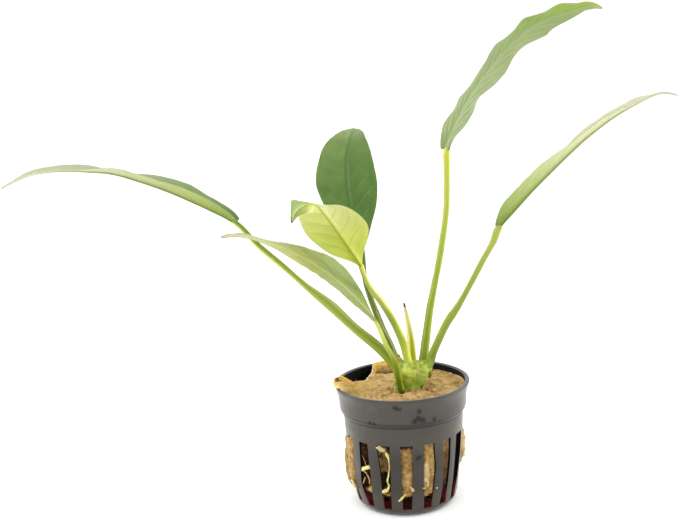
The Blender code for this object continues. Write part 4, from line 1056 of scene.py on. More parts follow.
def slot_place(azimuth, z):
    """The nearest slot's number and an azimuth's place across it, -1 and 1 at its edges."""
    period = math.tau / SLOT_COUNT
    turn = (azimuth - SLOT_TURN) / period
    radius = wall_radius(z)
    best = (0, 99.0)
    for slot in (math.floor(turn), math.ceil(turn)):
        left, right = (edge / radius for edge in slot_edges(slot % SLOT_COUNT, z))
        half = slot_half_angle(radius, z) + (right - left) / 2
        place = ((turn - slot) * period - (left + right) / 2) / half
        if abs(place) < abs(best[1]):
            best = (slot % SLOT_COUNT, place)
    return best


def lumps(point, seed, scales_mm, sizes_mm):
    """Noise in several sizes, in metres."""
    total = 0.0
    for scale_mm, size_mm in zip(scales_mm, sizes_mm):
        total += size_mm * MM * noise.noise(point / (scale_mm * MM) + Vector((seed, 2 * seed, 3 * seed)))
    return total


def wool_top_z(point):
    """Height of the plug's torn top: level, with its swells and hollows and the flap at the back."""
    z = WOOL_LEVEL
    for x_mm, y_mm, radius_mm, height_mm in WOOL_SWELLS_MM:
        away = (point.xy - Vector((x_mm, y_mm)) * MM).length / (radius_mm * MM)
        z += height_mm * MM * math.exp(-away * away)
    turn = math.atan2(point.y, point.x)
    azimuth, half_angles, radii, height = BACK_FLAP
    within = 1 - smooth_step(*half_angles, angle_between(turn, azimuth))
    z += height * within * smooth_step(*radii, point.xy.length)
    return z


def wool_side_point(azimuth, z):
    """A point of the plug's side, and how dark (mostly painted shade), orange and cream (partly painted
    highlight) it is there.
    """
    slot, place = slot_place(azimuth, z)
    low, off = z / MM, abs(place)
    stray = noise.noise(Vector((azimuth * 22, low / 2.2, 5)))
    up = smooth_step(6.5, 9.5, low) * (1 - smooth_step(28.0, 31.0, low))
    opening = 1 - smooth_step(0.6, 1.08, off)
    beside = 1 - smooth_step(1.05, 1.5, off)
    radius = wool_side_radius(z)
    dark = cream = orange = 0.0
    if slot == 14:
        # The hollow at the left: deep and dark with painted shade above a lump that fills its foot
        lump = 1 - smooth_step(10.4, 13.0, low + 1.4 * stray - 1.4 * place)
        sunk = (1 - lump) * (1 - smooth_step(30.5, 32.0, low))
        radius -= 4.6 * MM * sunk * beside
        dark = sunk * (0.88 + 0.2 * stray) + 0.25 * lump * smooth_step(0.2, -0.8, place)
    elif slot == 15:
        # The hollow beside it: sunk with brown painted shade half way up, deeper and darker below that, lumps
        # at its top and foot
        lump = 1 - smooth_step(9.6, 11.6, low + 1.2 * stray)
        crest = smooth_step(27.9, 28.8, low + 0.8 * stray) * (1 - smooth_step(30.1, 30.7, low))
        crest *= smooth_step(0.6, 0.15, place)
        deep = smooth_step(19.4, 17.2, low + 1.4 * stray)
        sunk = (1 - lump) * (1 - crest)
        radius -= (1.3 + 3.2 * deep) * MM * sunk * beside
        radius += 0.7 * MM * crest * opening
        dark = sunk * (0.52 + 0.45 * deep + 0.35 * stray)
        dark += 0.95 * smooth_step(28.0, 29.2, low + 0.6 * stray) * (1 - crest)
        cream = 0.3 * crest
    elif slot == 4:
        radius += float(np.interp(low, *RIGHT_SWELL_MM)) * MM * opening
        cream = 0.3 * opening
        dark = 0.1 * smooth_step(-0.1, 0.35, place) * up
    else:
        radius += WOOL_BULGES_MM[slot] * MM * opening * up
    if slot == 0:
        orange = 0.25
        dark = 0.16 + 0.8 * smooth_step(29.5, 30.3, low + 0.5 * stray)
        dark += 0.3 * smooth_step(-0.3, -0.95, place) * up
        dark += 0.12 * smooth_step(14, 26, low)
    elif slot == 1:
        orange = 0.2
        light = smooth_step(11.5, 13.5, low) * (1 - smooth_step(21.5, 24.5, low))
        cream = 0.36 * light * smooth_step(0.05, -0.2, place)
        dark = 0.08 + 0.26 * math.exp(-((place - 0.12) / 0.2) ** 2) + 0.10 * smooth_step(22, 28, low)
    elif slot == 2:
        dark = 0.50 + 0.22 * smooth_step(24, 17, low) + 0.26 * smooth_step(14, 9, low)
    elif slot == 3:
        # Painted shade: the wool in this slot is sunk and painted black
        dark = 1.0
        radius -= 2.2 * MM * up * beside
    # At its foot the plug draws in and is painted dark with shade
    hem = 1 - smooth_step(7.7, 9.0, low + 0.7 * stray)
    radius -= 2.4 * MM * hem
    dark = max(dark, 0.9 * hem)
    point = on_circle(azimuth, radius, z)
    rough = lumps(point, 1.3, (6, 2.8, 1.4, 0.75), (0.9, 0.75, 0.42, 0.22))
    patch = noise.noise(Vector((point.x, point.y, point.z * 0.55)) / (1.5 * MM))
    patch += 0.6 * noise.noise(point / (0.85 * MM))
    if low < 32 and dark < 0.9:
        dark += 0.42 * max(patch - 0.05, 0.0)
        cream += 0.40 * max(-patch - 0.08, 0.0) * (1 - dark)
    between = math.degrees((azimuth - SLOT_TURN + math.pi) % math.tau - math.pi)
    over_rib = 0.0
    if -104 < between < -56:
        over_rib = smooth_step(-101.0, -95.0, between)
        over_rib *= smooth_step(5.4, 8.2, low) * (1 - smooth_step(29.2, 30.8, low + 0.5 * stray))
        if slot == 13:
            over_rib *= 1 - smooth_step(0.8, 1.1, place + 0.1 * stray)
        elif slot == 14:
            over_rib = 0.0
    if over_rib > 0:
        wall = wall_radius(z)
        swell = float(np.interp(low, *LEFT_SWELL_MM)) * MM - wall
        swell = (0.35 * MM + (swell - 0.35 * MM) * smooth_step(-66.0, -84.0, between)) + rough * 0.45
        swell = max(wall + swell, wall - 0.6 * MM if off < 0.9 else wall + 0.25 * MM)
        streak = smooth_step(-0.1, -0.5, place) if slot == 13 else 0.0
        shade = max(dark * 0.8, 0.16 + 0.3 * max(patch, 0.0))
        return on_circle(azimuth, radius + (swell - radius) * over_rib, z), shade, 0.15, cream + 0.2 * streak
    room = smooth_step(WOOL_FOOT_Z - 1 * MM, 9 * MM, z)
    if off < 1.05 and low < 31.5:
        radius += rough * room * (1 - smooth_step(0.75, 1.05, off))
    elif low > 44.0:
        radius += min(rough, 0.0) * 0.5
    bite = float(np.interp((math.degrees(azimuth) - 90) % 360, *BITE_MM))
    bitten = smooth_step(BITE_FLOOR_Z - 1 * MM, BITE_FLOOR_Z, z)
    radius -= bite * MM * bitten * (1 + 0.06 * noise.noise(point * 300))
    # Painted shade down the walls of the torn hole, and a painted cream highlight along its top edge
    inside = smooth_step(0.3, 1.5, bite) * bitten
    dark = max(dark, inside * (1 - smooth_step(47.6, 48.6, low)))
    cream = max(cream, 0.9 * inside * smooth_step(47.4, 48.4, low))
    return on_circle(azimuth, radius, z), min(dark, 1.0), orange, min(cream, 1.0)


def make_wool(finish):
    """The plug of rock wool, its torn top and what bulges or sinks in each slot."""
    columns = SLOT_COUNT * WOOL_COLUMNS_PER_SLOT
    azimuths = [math.tau * j / columns + SLOT_TURN for j in range(columns)]
    heights = [WOOL_FOOT_Z + (48.5 * MM - WOOL_FOOT_Z) * i / WOOL_SIDE_ROWS
               for i in range(WOOL_SIDE_ROWS + 1)]
    points, dark, orange, cream = [], [], [], []

    def keep(point, values=(0.0, 0.0, 0.0)):
        points.append(point)
        for target, value in zip((dark, orange, cream), values):
            target.append(value)

    rows = 0
    for reach in (0.55, 0.8, 0.93):
        for azimuth in azimuths:
            point = wool_side_point(azimuth, WOOL_FOOT_Z)[0]
            drop = WOOL_FOOT_Z - (1.2 - reach) * 2.0 * MM
            keep(Vector((point.x * reach, point.y * reach, drop + lumps(point, 4.1, (3, 1), (0.8, 0.4)))),
                 (0.85, 0.0, 0.0))
        rows += 1
    for z in heights:
        for azimuth in azimuths:
            point, *values = wool_side_point(azimuth, z)
            keep(point, values)
        rows += 1
    reaches = [1.0 - WOOL_RIM_SHARE * (i / WOOL_RIM_ROWS) for i in range(WOOL_RIM_ROWS)]
    reaches += [0.87 - 0.86 * i / WOOL_TOP_ROWS for i in range(WOOL_TOP_ROWS + 1)]
    for reach in reaches:
        for azimuth in azimuths:
            side = wool_side_point(azimuth, 49 * MM)[0]
            flat = Vector((side.x * reach, side.y * reach, 49 * MM))
            turn = math.atan2(flat.y, flat.x)
            beyond = (turn - LEFT_FLAP_AZIMUTH + math.pi) % math.tau - math.pi
            left = angle_between(turn, LEFT_FLAP_AZIMUTH)
            over = 1 - smooth_step(*LEFT_FLAP_HALF_ANGLES, left + 0.03 * noise.noise(flat * 400))
            z = wool_top_z(flat)
            inner = smooth_step(1.0, 0.97, reach)
            z += (0.25 + 0.75 * inner) * lumps(flat, 2.2, (8, 3.4, 1.7, 0.9), (0.8, 0.72, 0.44, 0.26))
            place = Vector((flat.x, flat.y, z))
            if over > 0 and reach > 0.80:
                # The flap lies over the rim and droops outside it
                step = (1.0 - reach) / 0.20
                bent_r = float(np.interp(step, LEFT_FLAP_STEPS, LEFT_FLAP_RADII_MM)) * MM
                bent_z = float(np.interp(step, LEFT_FLAP_STEPS, LEFT_FLAP_HEIGHTS_MM)) * MM
                bent_z -= 0.9 * MM * smooth_step(0.14, 0.34, left) * smooth_step(0.25, 0.6, step)
                bent_z += 1.2 * MM * smooth_step(0.25, 0.45, step) * smooth_step(1.0, 0.8, step)
                # Towards the front it only lies on the rim
                level = smooth_step(0.02, 0.22, beyond)
                bent_r += (min(bent_r, 26.9 * MM) - bent_r) * level
                bent_z += (max(bent_z, 51.7 * MM) - bent_z) * level
                bent_z += 0.5 * lumps(flat, 6.0, (2.5, 1.2), (0.6, 0.35))
                away = Vector((flat.x, flat.y, 0)).normalized()
                place = place.lerp(away * bent_r + Vector((0, 0, bent_z)), over)
            crack = crack_depth(place)
            torn = over * smooth_step(0.76, 0.82, reach) * (1 - smooth_step(0.87, 0.90, reach))
            torn *= 1 - smooth_step(-0.02, 0.10, beyond)
            behind = angle_between(turn, BACK_FLAP[0])
            torn = max(torn, (1 - smooth_step(0.20, 0.30, behind)) * smooth_step(0.74, 0.80, reach))
            # Painted highlight in cream along the left flap's outer edge, the torn hole's edge and the plug's
            # outer edge
            cream_edge_highlight = 0.9 * over * smooth_step(0.87, 0.90, reach)
            bite = float(np.interp(math.degrees(turn) % 360, *BITE_MM))
            edge = smooth_step(0.4, 2.0, bite) * smooth_step(0.955, 0.985, reach) * (1 - over)
            cream_edge_highlight = max(cream_edge_highlight, 0.95 * edge, 0.4 * smooth_step(0.975, 0.99, reach))
            radial = flat.xy.length / MM
            fold = (1 - smooth_step(0.24, 0.34, behind)) * math.exp(-((radial - 18.0) / 0.55) ** 2)
            shade = max(min(crack * 1.15, 0.95), 0.95 * fold)
            sunk = crack * (1.5 - 1.3 * over) * MM
            keep(Vector((place.x, place.y, place.z - sunk)), (shade, 0.85 * torn, cream_edge_highlight * (1 - shade)))
        rows += 1
    faces = grid_faces(rows, columns, closed=True)
    for row, turned in ((0, True), (rows - 1, False)):
        ring = points[row * columns:(row + 1) * columns]
        keep(sum(ring, Vector()) / columns, (0.8 if row == 0 else 0.0, 0.0, 0.0))
        faces += cap_faces(row, columns, len(points) - 1, turned)
    values = {"dark": dark, "orange": orange, "cream": cream}
    return add_piece("rock_wool", points, faces, (finish,), ("rock_wool_plug",), values,
                     sharp_deg=80)


# Tears in the plug's top: points of x and y, and how deep each is
CRACKS_MM = (
    (((-10.4, -15.6), (-8.4, -13.8), (-6.2, -13.2), (-4.6, -11.8)), 1.0),
    (((7.0, -11.0), (11.0, -11.6), (15.0, -10.0)), 0.35),
    (((-1.6, -17.0), (-1.2, -19.6)), 0.55),
    (((-26.8, 2.2), (-26.3, -1.0), (-25.7, -3.4), (-25.0, -4.6), (-23.9, -3.2)), 1.0),
    (((-4.2, -10.6), (-2.2, -11.6), (1.2, -11.4), (2.6, -10.4)), 0.8),
    (((5.6, -10.0), (8.6, -9.4), (10.8, -7.6)), 0.9),
    (((20.4, -2.4), (22.0, -1.4), (23.2, 0.2)), 0.9),
    (((-4.8, -7.6), (-4.2, -9.4)), 0.8),
)


def crack_depth(point):
    """How deep the plug's top is torn open at a point, 0 to 1."""
    deepest = 0.0
    here = np.array((point.x, point.y)) / MM
    here = here + 0.5 * np.array((noise.noise(point * 500), noise.noise(point * 500 + Vector((9, 9, 9)))))
    for line, strength in CRACKS_MM:
        for a, b in zip(line, line[1:]):
            a, b = np.array(a), np.array(b)
            share = np.clip((here - a) @ (b - a) / ((b - a) @ (b - a)), 0, 1)
            off = float(np.linalg.norm(here - a - share * (b - a)))
            deepest = max(deepest, strength * (1 - smooth_step(0.15, 0.8, off)))
    return deepest


def tube_rows(route, radii, sides, shape=None, up=(0, 0, 1)):
    """Rings round a route, each with a radius that shape may change by share and angle. Angle 0 faces up.
    Returns the points, and for each its share of the length and how far it faces up."""
    tangents = np.gradient(route, axis=0)
    points, along, over = [], [], []
    for i, (place, tangent) in enumerate(zip(route, tangents)):
        ahead = Vector(tangent).normalized()
        top = Vector(up) - Vector(up).dot(ahead) * ahead
        top.normalize()
        side = ahead.cross(top)
        share = i / (len(route) - 1)
        for j in range(sides):
            angle = math.tau * j / sides
            radius = radii[i] * (1.0 if shape is None else shape(share, angle))
            points.append(Vector(place) + (top * math.cos(angle) + side * math.sin(angle)) * radius)
            along.append(share)
            over.append(math.cos(angle))
    return points, along, over


def add_tube(name, route, radii, sides, finish, nodes=(), shape=None, up=(0, 0, 1)):
    points, along, over = tube_rows(route, radii, sides, shape, up)
    rows = len(route)
    faces = grid_faces(rows, sides, closed=True)
    for row, turned in ((0, True), (rows - 1, False)):
        points.append(Vector(route[row]))
        along.append(row / (rows - 1))
        over.append(0.0)
        faces += cap_faces(row, sides, len(points) - 1, turned)
    values = {"along": along, "over": over}
    return add_piece(name, points, faces, (finish,), nodes, values, sharp_deg=60)


def make_stalk(name, leaf, looks):
    """A leaf stalk with a sheath on its upper side that ends in a notch, and a knee under the blade."""
    upper, lower, sheath_end = looks
    route = smooth_curve([Vector(p) * MM for p in leaf["stalk_mm"] + leaf["midrib_mm"]])
    split = (len(leaf["stalk_mm"]) - 1) * CURVE_STEPS
    first = STALK_FIRSTS.get(name, 0)
    lengths = lengths_along(route[:split + 3])
    hidden = lengths[first] / lengths[-1]
    path = evenly(route[first:split + 3], STALK_ROWS)
    flare = STALK_FLARES.get(name, 0.0)
    radii = []
    for i in range(STALK_ROWS):
        share = i / (STALK_ROWS - 1)
        radius = smooth_value(leaf["stalk_radii_mm"], hidden + (1 - hidden) * share) * MM
        wider = 0.3 * (1 - smooth_step(0.25, 0.55, share)) + 0.7 * (1 - smooth_step(0.03, 0.16, share))
        radius *= 1 + flare * wider
        radius *= 1 + 0.05 * math.exp(-((share - 0.95) / 0.03) ** 2)
        radius *= 1 + 0.02 * noise.noise(Vector((share * 30, len(name), 0)))
        radii.append(radius * (1 - 0.35 * smooth_step(0.985, 1.0, share)))

    def shape(share, angle):
        turn = angle_between(angle, 0.0)
        sheath = 1 - smooth_step(sheath_end - 0.02, sheath_end + 0.01, share)
        flange = math.exp(-((turn - 0.75) / 0.22) ** 2) * sheath
        groove = math.exp(-(turn / 0.45) ** 2)
        side = math.cos(2 * angle)
        return 1 + 0.13 * flange - (0.14 * sheath + 0.05) * groove - 0.03 * side

    finish = stalk_material(name + "_stalk", upper, lower)
    return add_tube(name + "_stalk_skin", path, radii, STALK_SIDES, finish, (name + "_stalk",),
                    shape)


def make_blade(name, leaf, looks):
    """A leaf blade with a grooved midrib, a keel below, sunken side veins and thin wavy margins."""
    route = smooth_curve([Vector(p) * MM for p in leaf["stalk_mm"] + leaf["midrib_mm"]])
    split = (len(leaf["stalk_mm"]) - 1) * CURVE_STEPS
    places = evenly(route[split:], BLADE_ROWS)
    directions = evenly(route[split:], BLADE_ROWS, values=np.gradient(route, axis=0)[split:])
    vein_count = looks["upper"]["vein"][2]
    spread = [math.copysign(abs(s) ** 1.15, s) for s in np.linspace(-1, 1, BLADE_COLUMNS + 1)]
    upper_points, lower_points, values = [], [], {"along": [], "across": [], "off": [], "inset": []}
    widths = [smooth_curve([(i, v, 0.0) for i, v in enumerate(table)]) for table in leaf["half_widths_mm"]]
    waves = [smooth_curve([(i, v, 0.0) for i, v in enumerate(table)]) for table in leaf["waves_mm"]]
    rails = None
    if "rails_mm" in leaf:
        shares = [station[0] for station in leaf["rails_mm"]]
        rails = [smooth_curve([Vector(station[k]) * MM for station in leaf["rails_mm"]]) for k in (1, 2, 3)]
        rail_shares = smooth_curve([(share, 0, 0) for share in shares])[:, 0]
    for i in range(BLADE_ROWS):
        share = i / (BLADE_ROWS - 1)
        rib = MIDRIB_BASE_THICKNESS + share * (MIDRIB_TIP_THICKNESS - MIDRIB_BASE_THICKNESS)
        rib_width = (1.25 - 0.75 * share) * MM
        point_off = math.sqrt(max(0.0, min(1.0, (1.0 - share) / 0.035)))
        if rails:
            place, *edges = (Vector([np.interp(share, rail_shares, rail[:, k]) for k in range(3)])
                             for rail in rails)
            along = Vector([np.interp(min(share + 0.01, 1), rail_shares, rails[0][:, k])
                            - np.interp(max(share - 0.01, 0), rail_shares, rails[0][:, k]) for k in range(3)])
            side = (edges[1] - edges[0]).normalized()
            up = side.cross(along.normalized()).normalized()
        else:
            place = Vector(places[i])
            along = Vector(directions[i]).normalized()
            up = Vector(value_along(leaf["faces"], share))
            up = (up - up.dot(along) * along).normalized()
            side = along.cross(up)
        for column in spread:
            half = 0 if column < 0 else 1
            out = abs(column)
            if rails:
                reach = edges[half] - place
                width = reach.length
                swell = 1.4 * MM * math.sin(math.pi * out) * math.sin(math.pi * share)
                centre = place + reach * out + up * swell
            else:
                step = share * (len(widths[half]) - 1) / CURVE_STEPS
                width = float(np.interp(step, widths[half][:, 0], widths[half][:, 1]))
                width = max(width, 0.8) * MM * (0.15 + 0.85 * point_off)
                fold = math.radians(value_along(leaf["folds_deg"][half], share))
                wave = float(np.interp(step, waves[half][:, 0], waves[half][:, 1])) * MM * out ** 2
                lift = width * out * math.sin(fold) + wave
                centre = place + side * math.copysign(width * out * math.cos(fold), column) + up * lift
            body = math.sin(math.pi * min(share * 1.15, 1.0))
            ripple = 0.25 * MM * noise.noise(Vector((share * 26, half * 7.7, len(name)))) * out ** 3 * body
            bent = share - VEIN_REACH * out ** VEIN_POWER + (VEIN_SHIFT / vein_count if half else 0.0)
            quilt = math.cos(math.tau * (bent * vein_count - 0.5))
            quilt = leaf["quilt_mm"] * MM * quilt * math.sin(math.pi * min(out * 1.1, 1.0)) * body
            off = width * out
            groove = 0.30 * MM * math.exp(-(off / (0.7 * rib_width)) ** 2) * (1 - 0.6 * share)
            centre = centre + up * (rib / 2 * point_off + ripple - quilt)
            thick = MARGIN_THICKNESS + (BLADE_THICKNESS - MARGIN_THICKNESS) * (1 - out) ** 0.5
            keel = (rib - BLADE_THICKNESS) * math.exp(-(off / rib_width) ** 2) * (0.25 + 0.75 * point_off)
            rounded = math.sqrt(max(0.0, 1 - out ** 10))
            upper_points.append(centre - up * groove)
            lower_points.append(centre - up * (thick * (0.15 + 0.85 * rounded) + keel * point_off))
            values["along"].append(share)
            values["across"].append(column)
            values["off"].append(off / MM)
            values["inset"].append((width - off) / MM)
    columns = BLADE_COLUMNS + 1
    first_lower = len(upper_points)
    faces = grid_faces(BLADE_ROWS, columns, closed=False)
    looks_of = [0] * len(faces)
    for a, b, c, d in grid_faces(BLADE_ROWS, columns, closed=False, first=first_lower):
        faces.append((d, c, b, a))
        looks_of.append(1)
    for i in range(BLADE_ROWS - 1):
        for column, turned in ((0, False), (columns - 1, True)):
            a, b = i * columns + column, (i + 1) * columns + column
            quad = (a, b, b + first_lower, a + first_lower)
            faces.append(quad[::-1] if turned else quad)
            looks_of.append(0)
    for row, turned in ((0, True), (BLADE_ROWS - 1, False)):
        for column in range(columns - 1):
            a = row * columns + column
            quad = (a, a + 1, a + 1 + first_lower, a + first_lower)
            faces.append(quad[::-1] if turned else quad)
            looks_of.append(0)
    values = {key: numbers + numbers for key, numbers in values.items()}
    finishes = (blade_material(name + "_blade_upper", looks["upper"], False),
                blade_material(name + "_blade_under", looks["under"], True))
    return add_piece(name + "_blade_skin", upper_points + lower_points, faces, finishes,
                     (name + "_blade",), values, looks_of, sharp_deg=70)


def make_spike(finish):
    """The new leaf, rolled up: a tapering roll whose overlapping edge winds round it."""
    path = evenly(smooth_curve([Vector(p) * MM for p in SPIKE_MM]), SPIKE_ROWS)
    radii = [smooth_value(SPIKE_RADII_MM, i / (SPIKE_ROWS - 1)) * MM for i in range(SPIKE_ROWS)]

    def shape(share, angle):
        turn = ((angle - 1.4 - 1.1 * share) % math.tau) / math.tau
        return 0.93 + 0.12 * turn - 0.03 * math.exp(-(turn / 0.04) ** 2)

    return add_tube("new_leaf_roll", path, radii, SPIKE_SIDES, finish, ("new_leaf_spike",), shape,
                    up=(0.15, -0.95, 0.1))


def make_root(name, stations, radii_mm, finish, nodes=(), rows=70, rough=1.0, values=()):
    """A thin root, or a tuft, with a knobbly skin through stations on circles round the pot's axis."""
    route = smooth_curve([on_circle(math.radians(a), r * MM, z * MM) for a, r, z in stations])
    path = evenly(route, rows)
    for i in range(rows):
        path[i] += 0.16 * MM * rough * np.array(noise.noise_vector(Vector(path[i]) * 700))
    radii = []
    for i in range(rows):
        share = i / (rows - 1)
        ends = min(1.0, (share + 0.02) / 0.08, (1.02 - share) / 0.12)
        uneven = noise.noise(Vector(path[i]) * 900) + noise.noise(Vector(path[i]) * 2200)
        radii.append(value_along(radii_mm, share) * MM * ends * (1 + 0.34 * rough * uneven))
    made = add_tube(name, path, radii, 12, finish, nodes)
    for key, value in values:
        attribute = made.data.attributes.new(key, "FLOAT", "POINT")
        attribute.data.foreach_set("value", np.full(len(made.data.vertices), value, np.float32))
    return made


def make_roots(finish, wool_finish):
    for name, (stations, radii_mm, tan, nodes) in ROOTS.items():
        make_root(name, stations, radii_mm, finish, nodes=nodes, values=(("tan", tan),))
    for name, (stations, radii_mm, pale) in TUFTS.items():
        make_root(name, stations, radii_mm, wool_finish, rows=60, rough=1.8,
                  values=(("cream", pale),))


def ellipsoid(centre_mm, radii_mm):
    """Points and faces of an egg-shaped lump."""
    shape = bmesh.new()
    bmesh.ops.create_uvsphere(shape, u_segments=20, v_segments=10, radius=1.0)
    points = [Vector(centre_mm) * MM + Vector(v.co[i] * radii_mm[i] * MM for i in range(3))
              for v in shape.verts]
    shape.verts.index_update()
    faces = [tuple(v.index for v in face.verts) for face in shape.faces]
    shape.free()
    return points, faces


CROWN_LIMBS = (
    # Stations of x, y, z and radius in mm of each limb that the crown is grown together from
    ((5.0, -3.6, 46.9, 2.84), (5.1, -3.6, 50.3, 3.24), (5.2, -3.6, 53.7, 3.7), (5.2, -3.6, 56.7, 3.5)),
    ((2.2, -6.6, 59.6, 1.69), (2.2, -7.2, 58.4, 2.17), (1.9, -7.8, 56.7, 2.49), (2.1, -8.0, 54.9, 2.3),
     (2.2, -8.2, 52.9, 2.3), (2.5, -8.2, 50.8, 2.3), (2.6, -8.0, 48.7, 2.2)),
    ((11.6, -5.2, 59.3, 1.37), (10.5, -6.2, 57.9, 1.77), (8.8, -6.9, 56.5, 2.05), (7.8, -7.4, 55.0, 2.2),
     (7.2, -7.6, 53.3, 2.15), (6.7, -7.6, 51.5, 2.0), (6.4, -7.4, 49.3, 1.9)),
    ((6.3, -5.8, 58.6, 1.4), (6.4, -6.6, 57.6, 1.61), (6.2, -7.2, 56.3, 1.69)),
    ((4.5, -8.4, 57.0, 1.04), (4.5, -8.6, 55.0, 1.1), (4.6, -8.5, 52.5, 1.2), (4.7, -8.3, 50.0, 1.2)),
    ((4.6, -4.4, 59.4, 1.3), (4.3, -6.0, 58.4, 1.37)),
    ((8.6, -3.4, 59.0, 1.62), (8.0, -4.6, 57.7, 1.86)),
    ((-0.8, -2.6, 60.3, 1.54), (-0.5, -4.0, 59.0, 1.53), (0.2, -5.6, 57.8, 1.53), (0.7, -6.6, 55.8, 1.37)),
    ((-1.2, -0.8, 61.2, 1.35), (-1.1, -1.6, 59.7, 1.4)),
    ((-3.4, -8.8, 58.8, 0.6), (-3.0, -9.2, 56.8, 0.72), (-2.7, -9.6, 54.4, 0.8), (-2.6, -9.8, 51.9, 0.92),
     (-2.7, -9.8, 49.4, 1.1), (-2.8, -9.6, 47.7, 1.1)),
    ((11.0, -5.6, 56.6, 1.1), (11.3, -5.6, 55.1, 1.15), (10.9, -5.8, 53.7, 0.9)),
)
# Tints of the crown: place, radius, colour and strength. The darkest, near black browns low on the crown,
# where it meets the wool, are painted shadow
RHIZOME_TINTS = (
    ((0.6, -9.6, 58.2), 2.1, (206, 216, 84), 0.85), ((2.3, -10.0, 51.6), 2.4, (120, 156, 22), 0.9),
    ((1.2, -10.2, 55.3), 1.3, (146, 132, 22), 0.85), ((2.9, -9.9, 54.9), 1.0, (150, 130, 34), 0.7),
    ((4.4, -9.6, 52.6), 0.9, (186, 204, 90), 0.7), ((6.6, -8.4, 58.0), 2.4, (186, 182, 96), 0.7),
    ((8.2, -9.0, 54.6), 2.5, (128, 162, 44), 0.8), ((5.6, -9.2, 55.4), 1.4, (180, 186, 92), 0.7),
    ((6.2, -9.6, 52.4), 1.6, (128, 158, 44), 0.8), ((11.3, -6.6, 56.2), 1.5, (128, 112, 40), 0.85),
    ((11.4, -6.6, 54.4), 1.5, (104, 72, 22), 0.9), ((9.2, -8.4, 52.2), 1.3, (76, 60, 14), 0.85),
    ((7.6, -9.4, 50.9), 1.2, (70, 62, 12), 0.85), ((2.0, -8.6, 60.3), 1.0, (205, 212, 100), 0.7),
    ((4.5, -8.0, 59.5), 1.2, (208, 214, 104), 0.7), ((5.7, -8.0, 58.2), 0.8, (176, 144, 80), 0.7),
    ((-1.2, -1.8, 62.0), 1.6, (136, 104, 66), 0.9), ((-1.0, -3.8, 60.6), 1.6, (172, 152, 74), 0.85),
    ((0.5, -5.0, 61.0), 0.7, (130, 122, 30), 0.8), ((1.1, -6.5, 60.4), 0.6, (136, 128, 30), 0.8),
    ((0.0, -7.0, 58.6), 1.5, (150, 150, 62), 0.8), ((-2.8, -10.6, 53.1), 0.8, (84, 78, 22), 0.85),
    ((-3.2, -10.4, 56.4), 1.6, (158, 154, 84), 0.75), ((-3.4, -10.6, 50.6), 1.6, (166, 158, 92), 0.8),
    ((-3.4, -10.6, 48.9), 0.8, (70, 56, 20), 0.8), ((6.9, -6.0, 59.2), 1.0, (204, 208, 110), 0.7),
    ((11.0, -7.4, 57.9), 0.7, (186, 196, 100), 0.7))


def make_crown(finish):
    """The rhizome's crown: limbs grown together, with the rings that old leaves left on them."""
    points, faces = [], []
    for limb in CROWN_LIMBS:
        for a, b in zip(limb, limb[1:]):
            for i in range(6):
                x, y, z, radius = Vector(a).lerp(Vector(b), i / 5)
                more, quads = ellipsoid((x, y, z), (radius, radius, radius * 1.1))
                first = len(points)
                points += more
                faces += [tuple(k + first for k in quad) for quad in quads]
    rough = bpy.data.meshes.new("crown_limbs")
    rough.from_pydata([tuple(p) for p in points], [], faces)
    source = add_object("crown_limbs", rough)
    grown = source.modifiers.new("Grown together", "REMESH")
    grown.mode = "VOXEL"
    grown.voxel_size = 0.24 * MM
    eased = source.modifiers.new("Eased", "SMOOTH")
    eased.factor = 0.8
    eased.iterations = 8
    bpy.context.view_layer.update()
    made = bpy.data.meshes.new_from_object(source.evaluated_get(bpy.context.evaluated_depsgraph_get()))
    shape = bmesh.new()
    shape.from_mesh(made)
    shape.normal_update()
    places, scars = [], []
    for vert in shape.verts:
        out = vert.normal.copy()
        wave = vert.co.z / MM + 0.9 * noise.noise(vert.co * 180) + 0.2 * vert.co.x / MM
        ring = math.exp(-(((wave / 1.7) % 1.0 - 0.5) / 0.11) ** 2)
        ring *= smooth_step(-0.1, 0.4, noise.noise(vert.co * 260))
        ring *= smooth_step(53.0, 57.0, vert.co.z / MM)
        push = 0.20 * MM * noise.noise(vert.co * 620) + 0.34 * MM * noise.noise(vert.co * 300)
        places.append(vert.co + out * (push - 0.22 * MM * ring))
        scars.append(ring)
    shape.verts.index_update()
    quads = [tuple(v.index for v in face.verts) for face in shape.faces]
    shape.free()
    bpy.data.objects.remove(source, do_unlink=True)
    bpy.data.meshes.remove(rough)
    bpy.data.meshes.remove(made)
    return add_piece("rhizome_crown", places, quads, (finish,), ("rhizome",), {"scar": scars},
                     sharp_deg=80)


def point_values(mesh, name):
    values = np.zeros(len(mesh.vertices), np.float32)
    mesh.attributes[name].data.foreach_get("value", values)
    return values


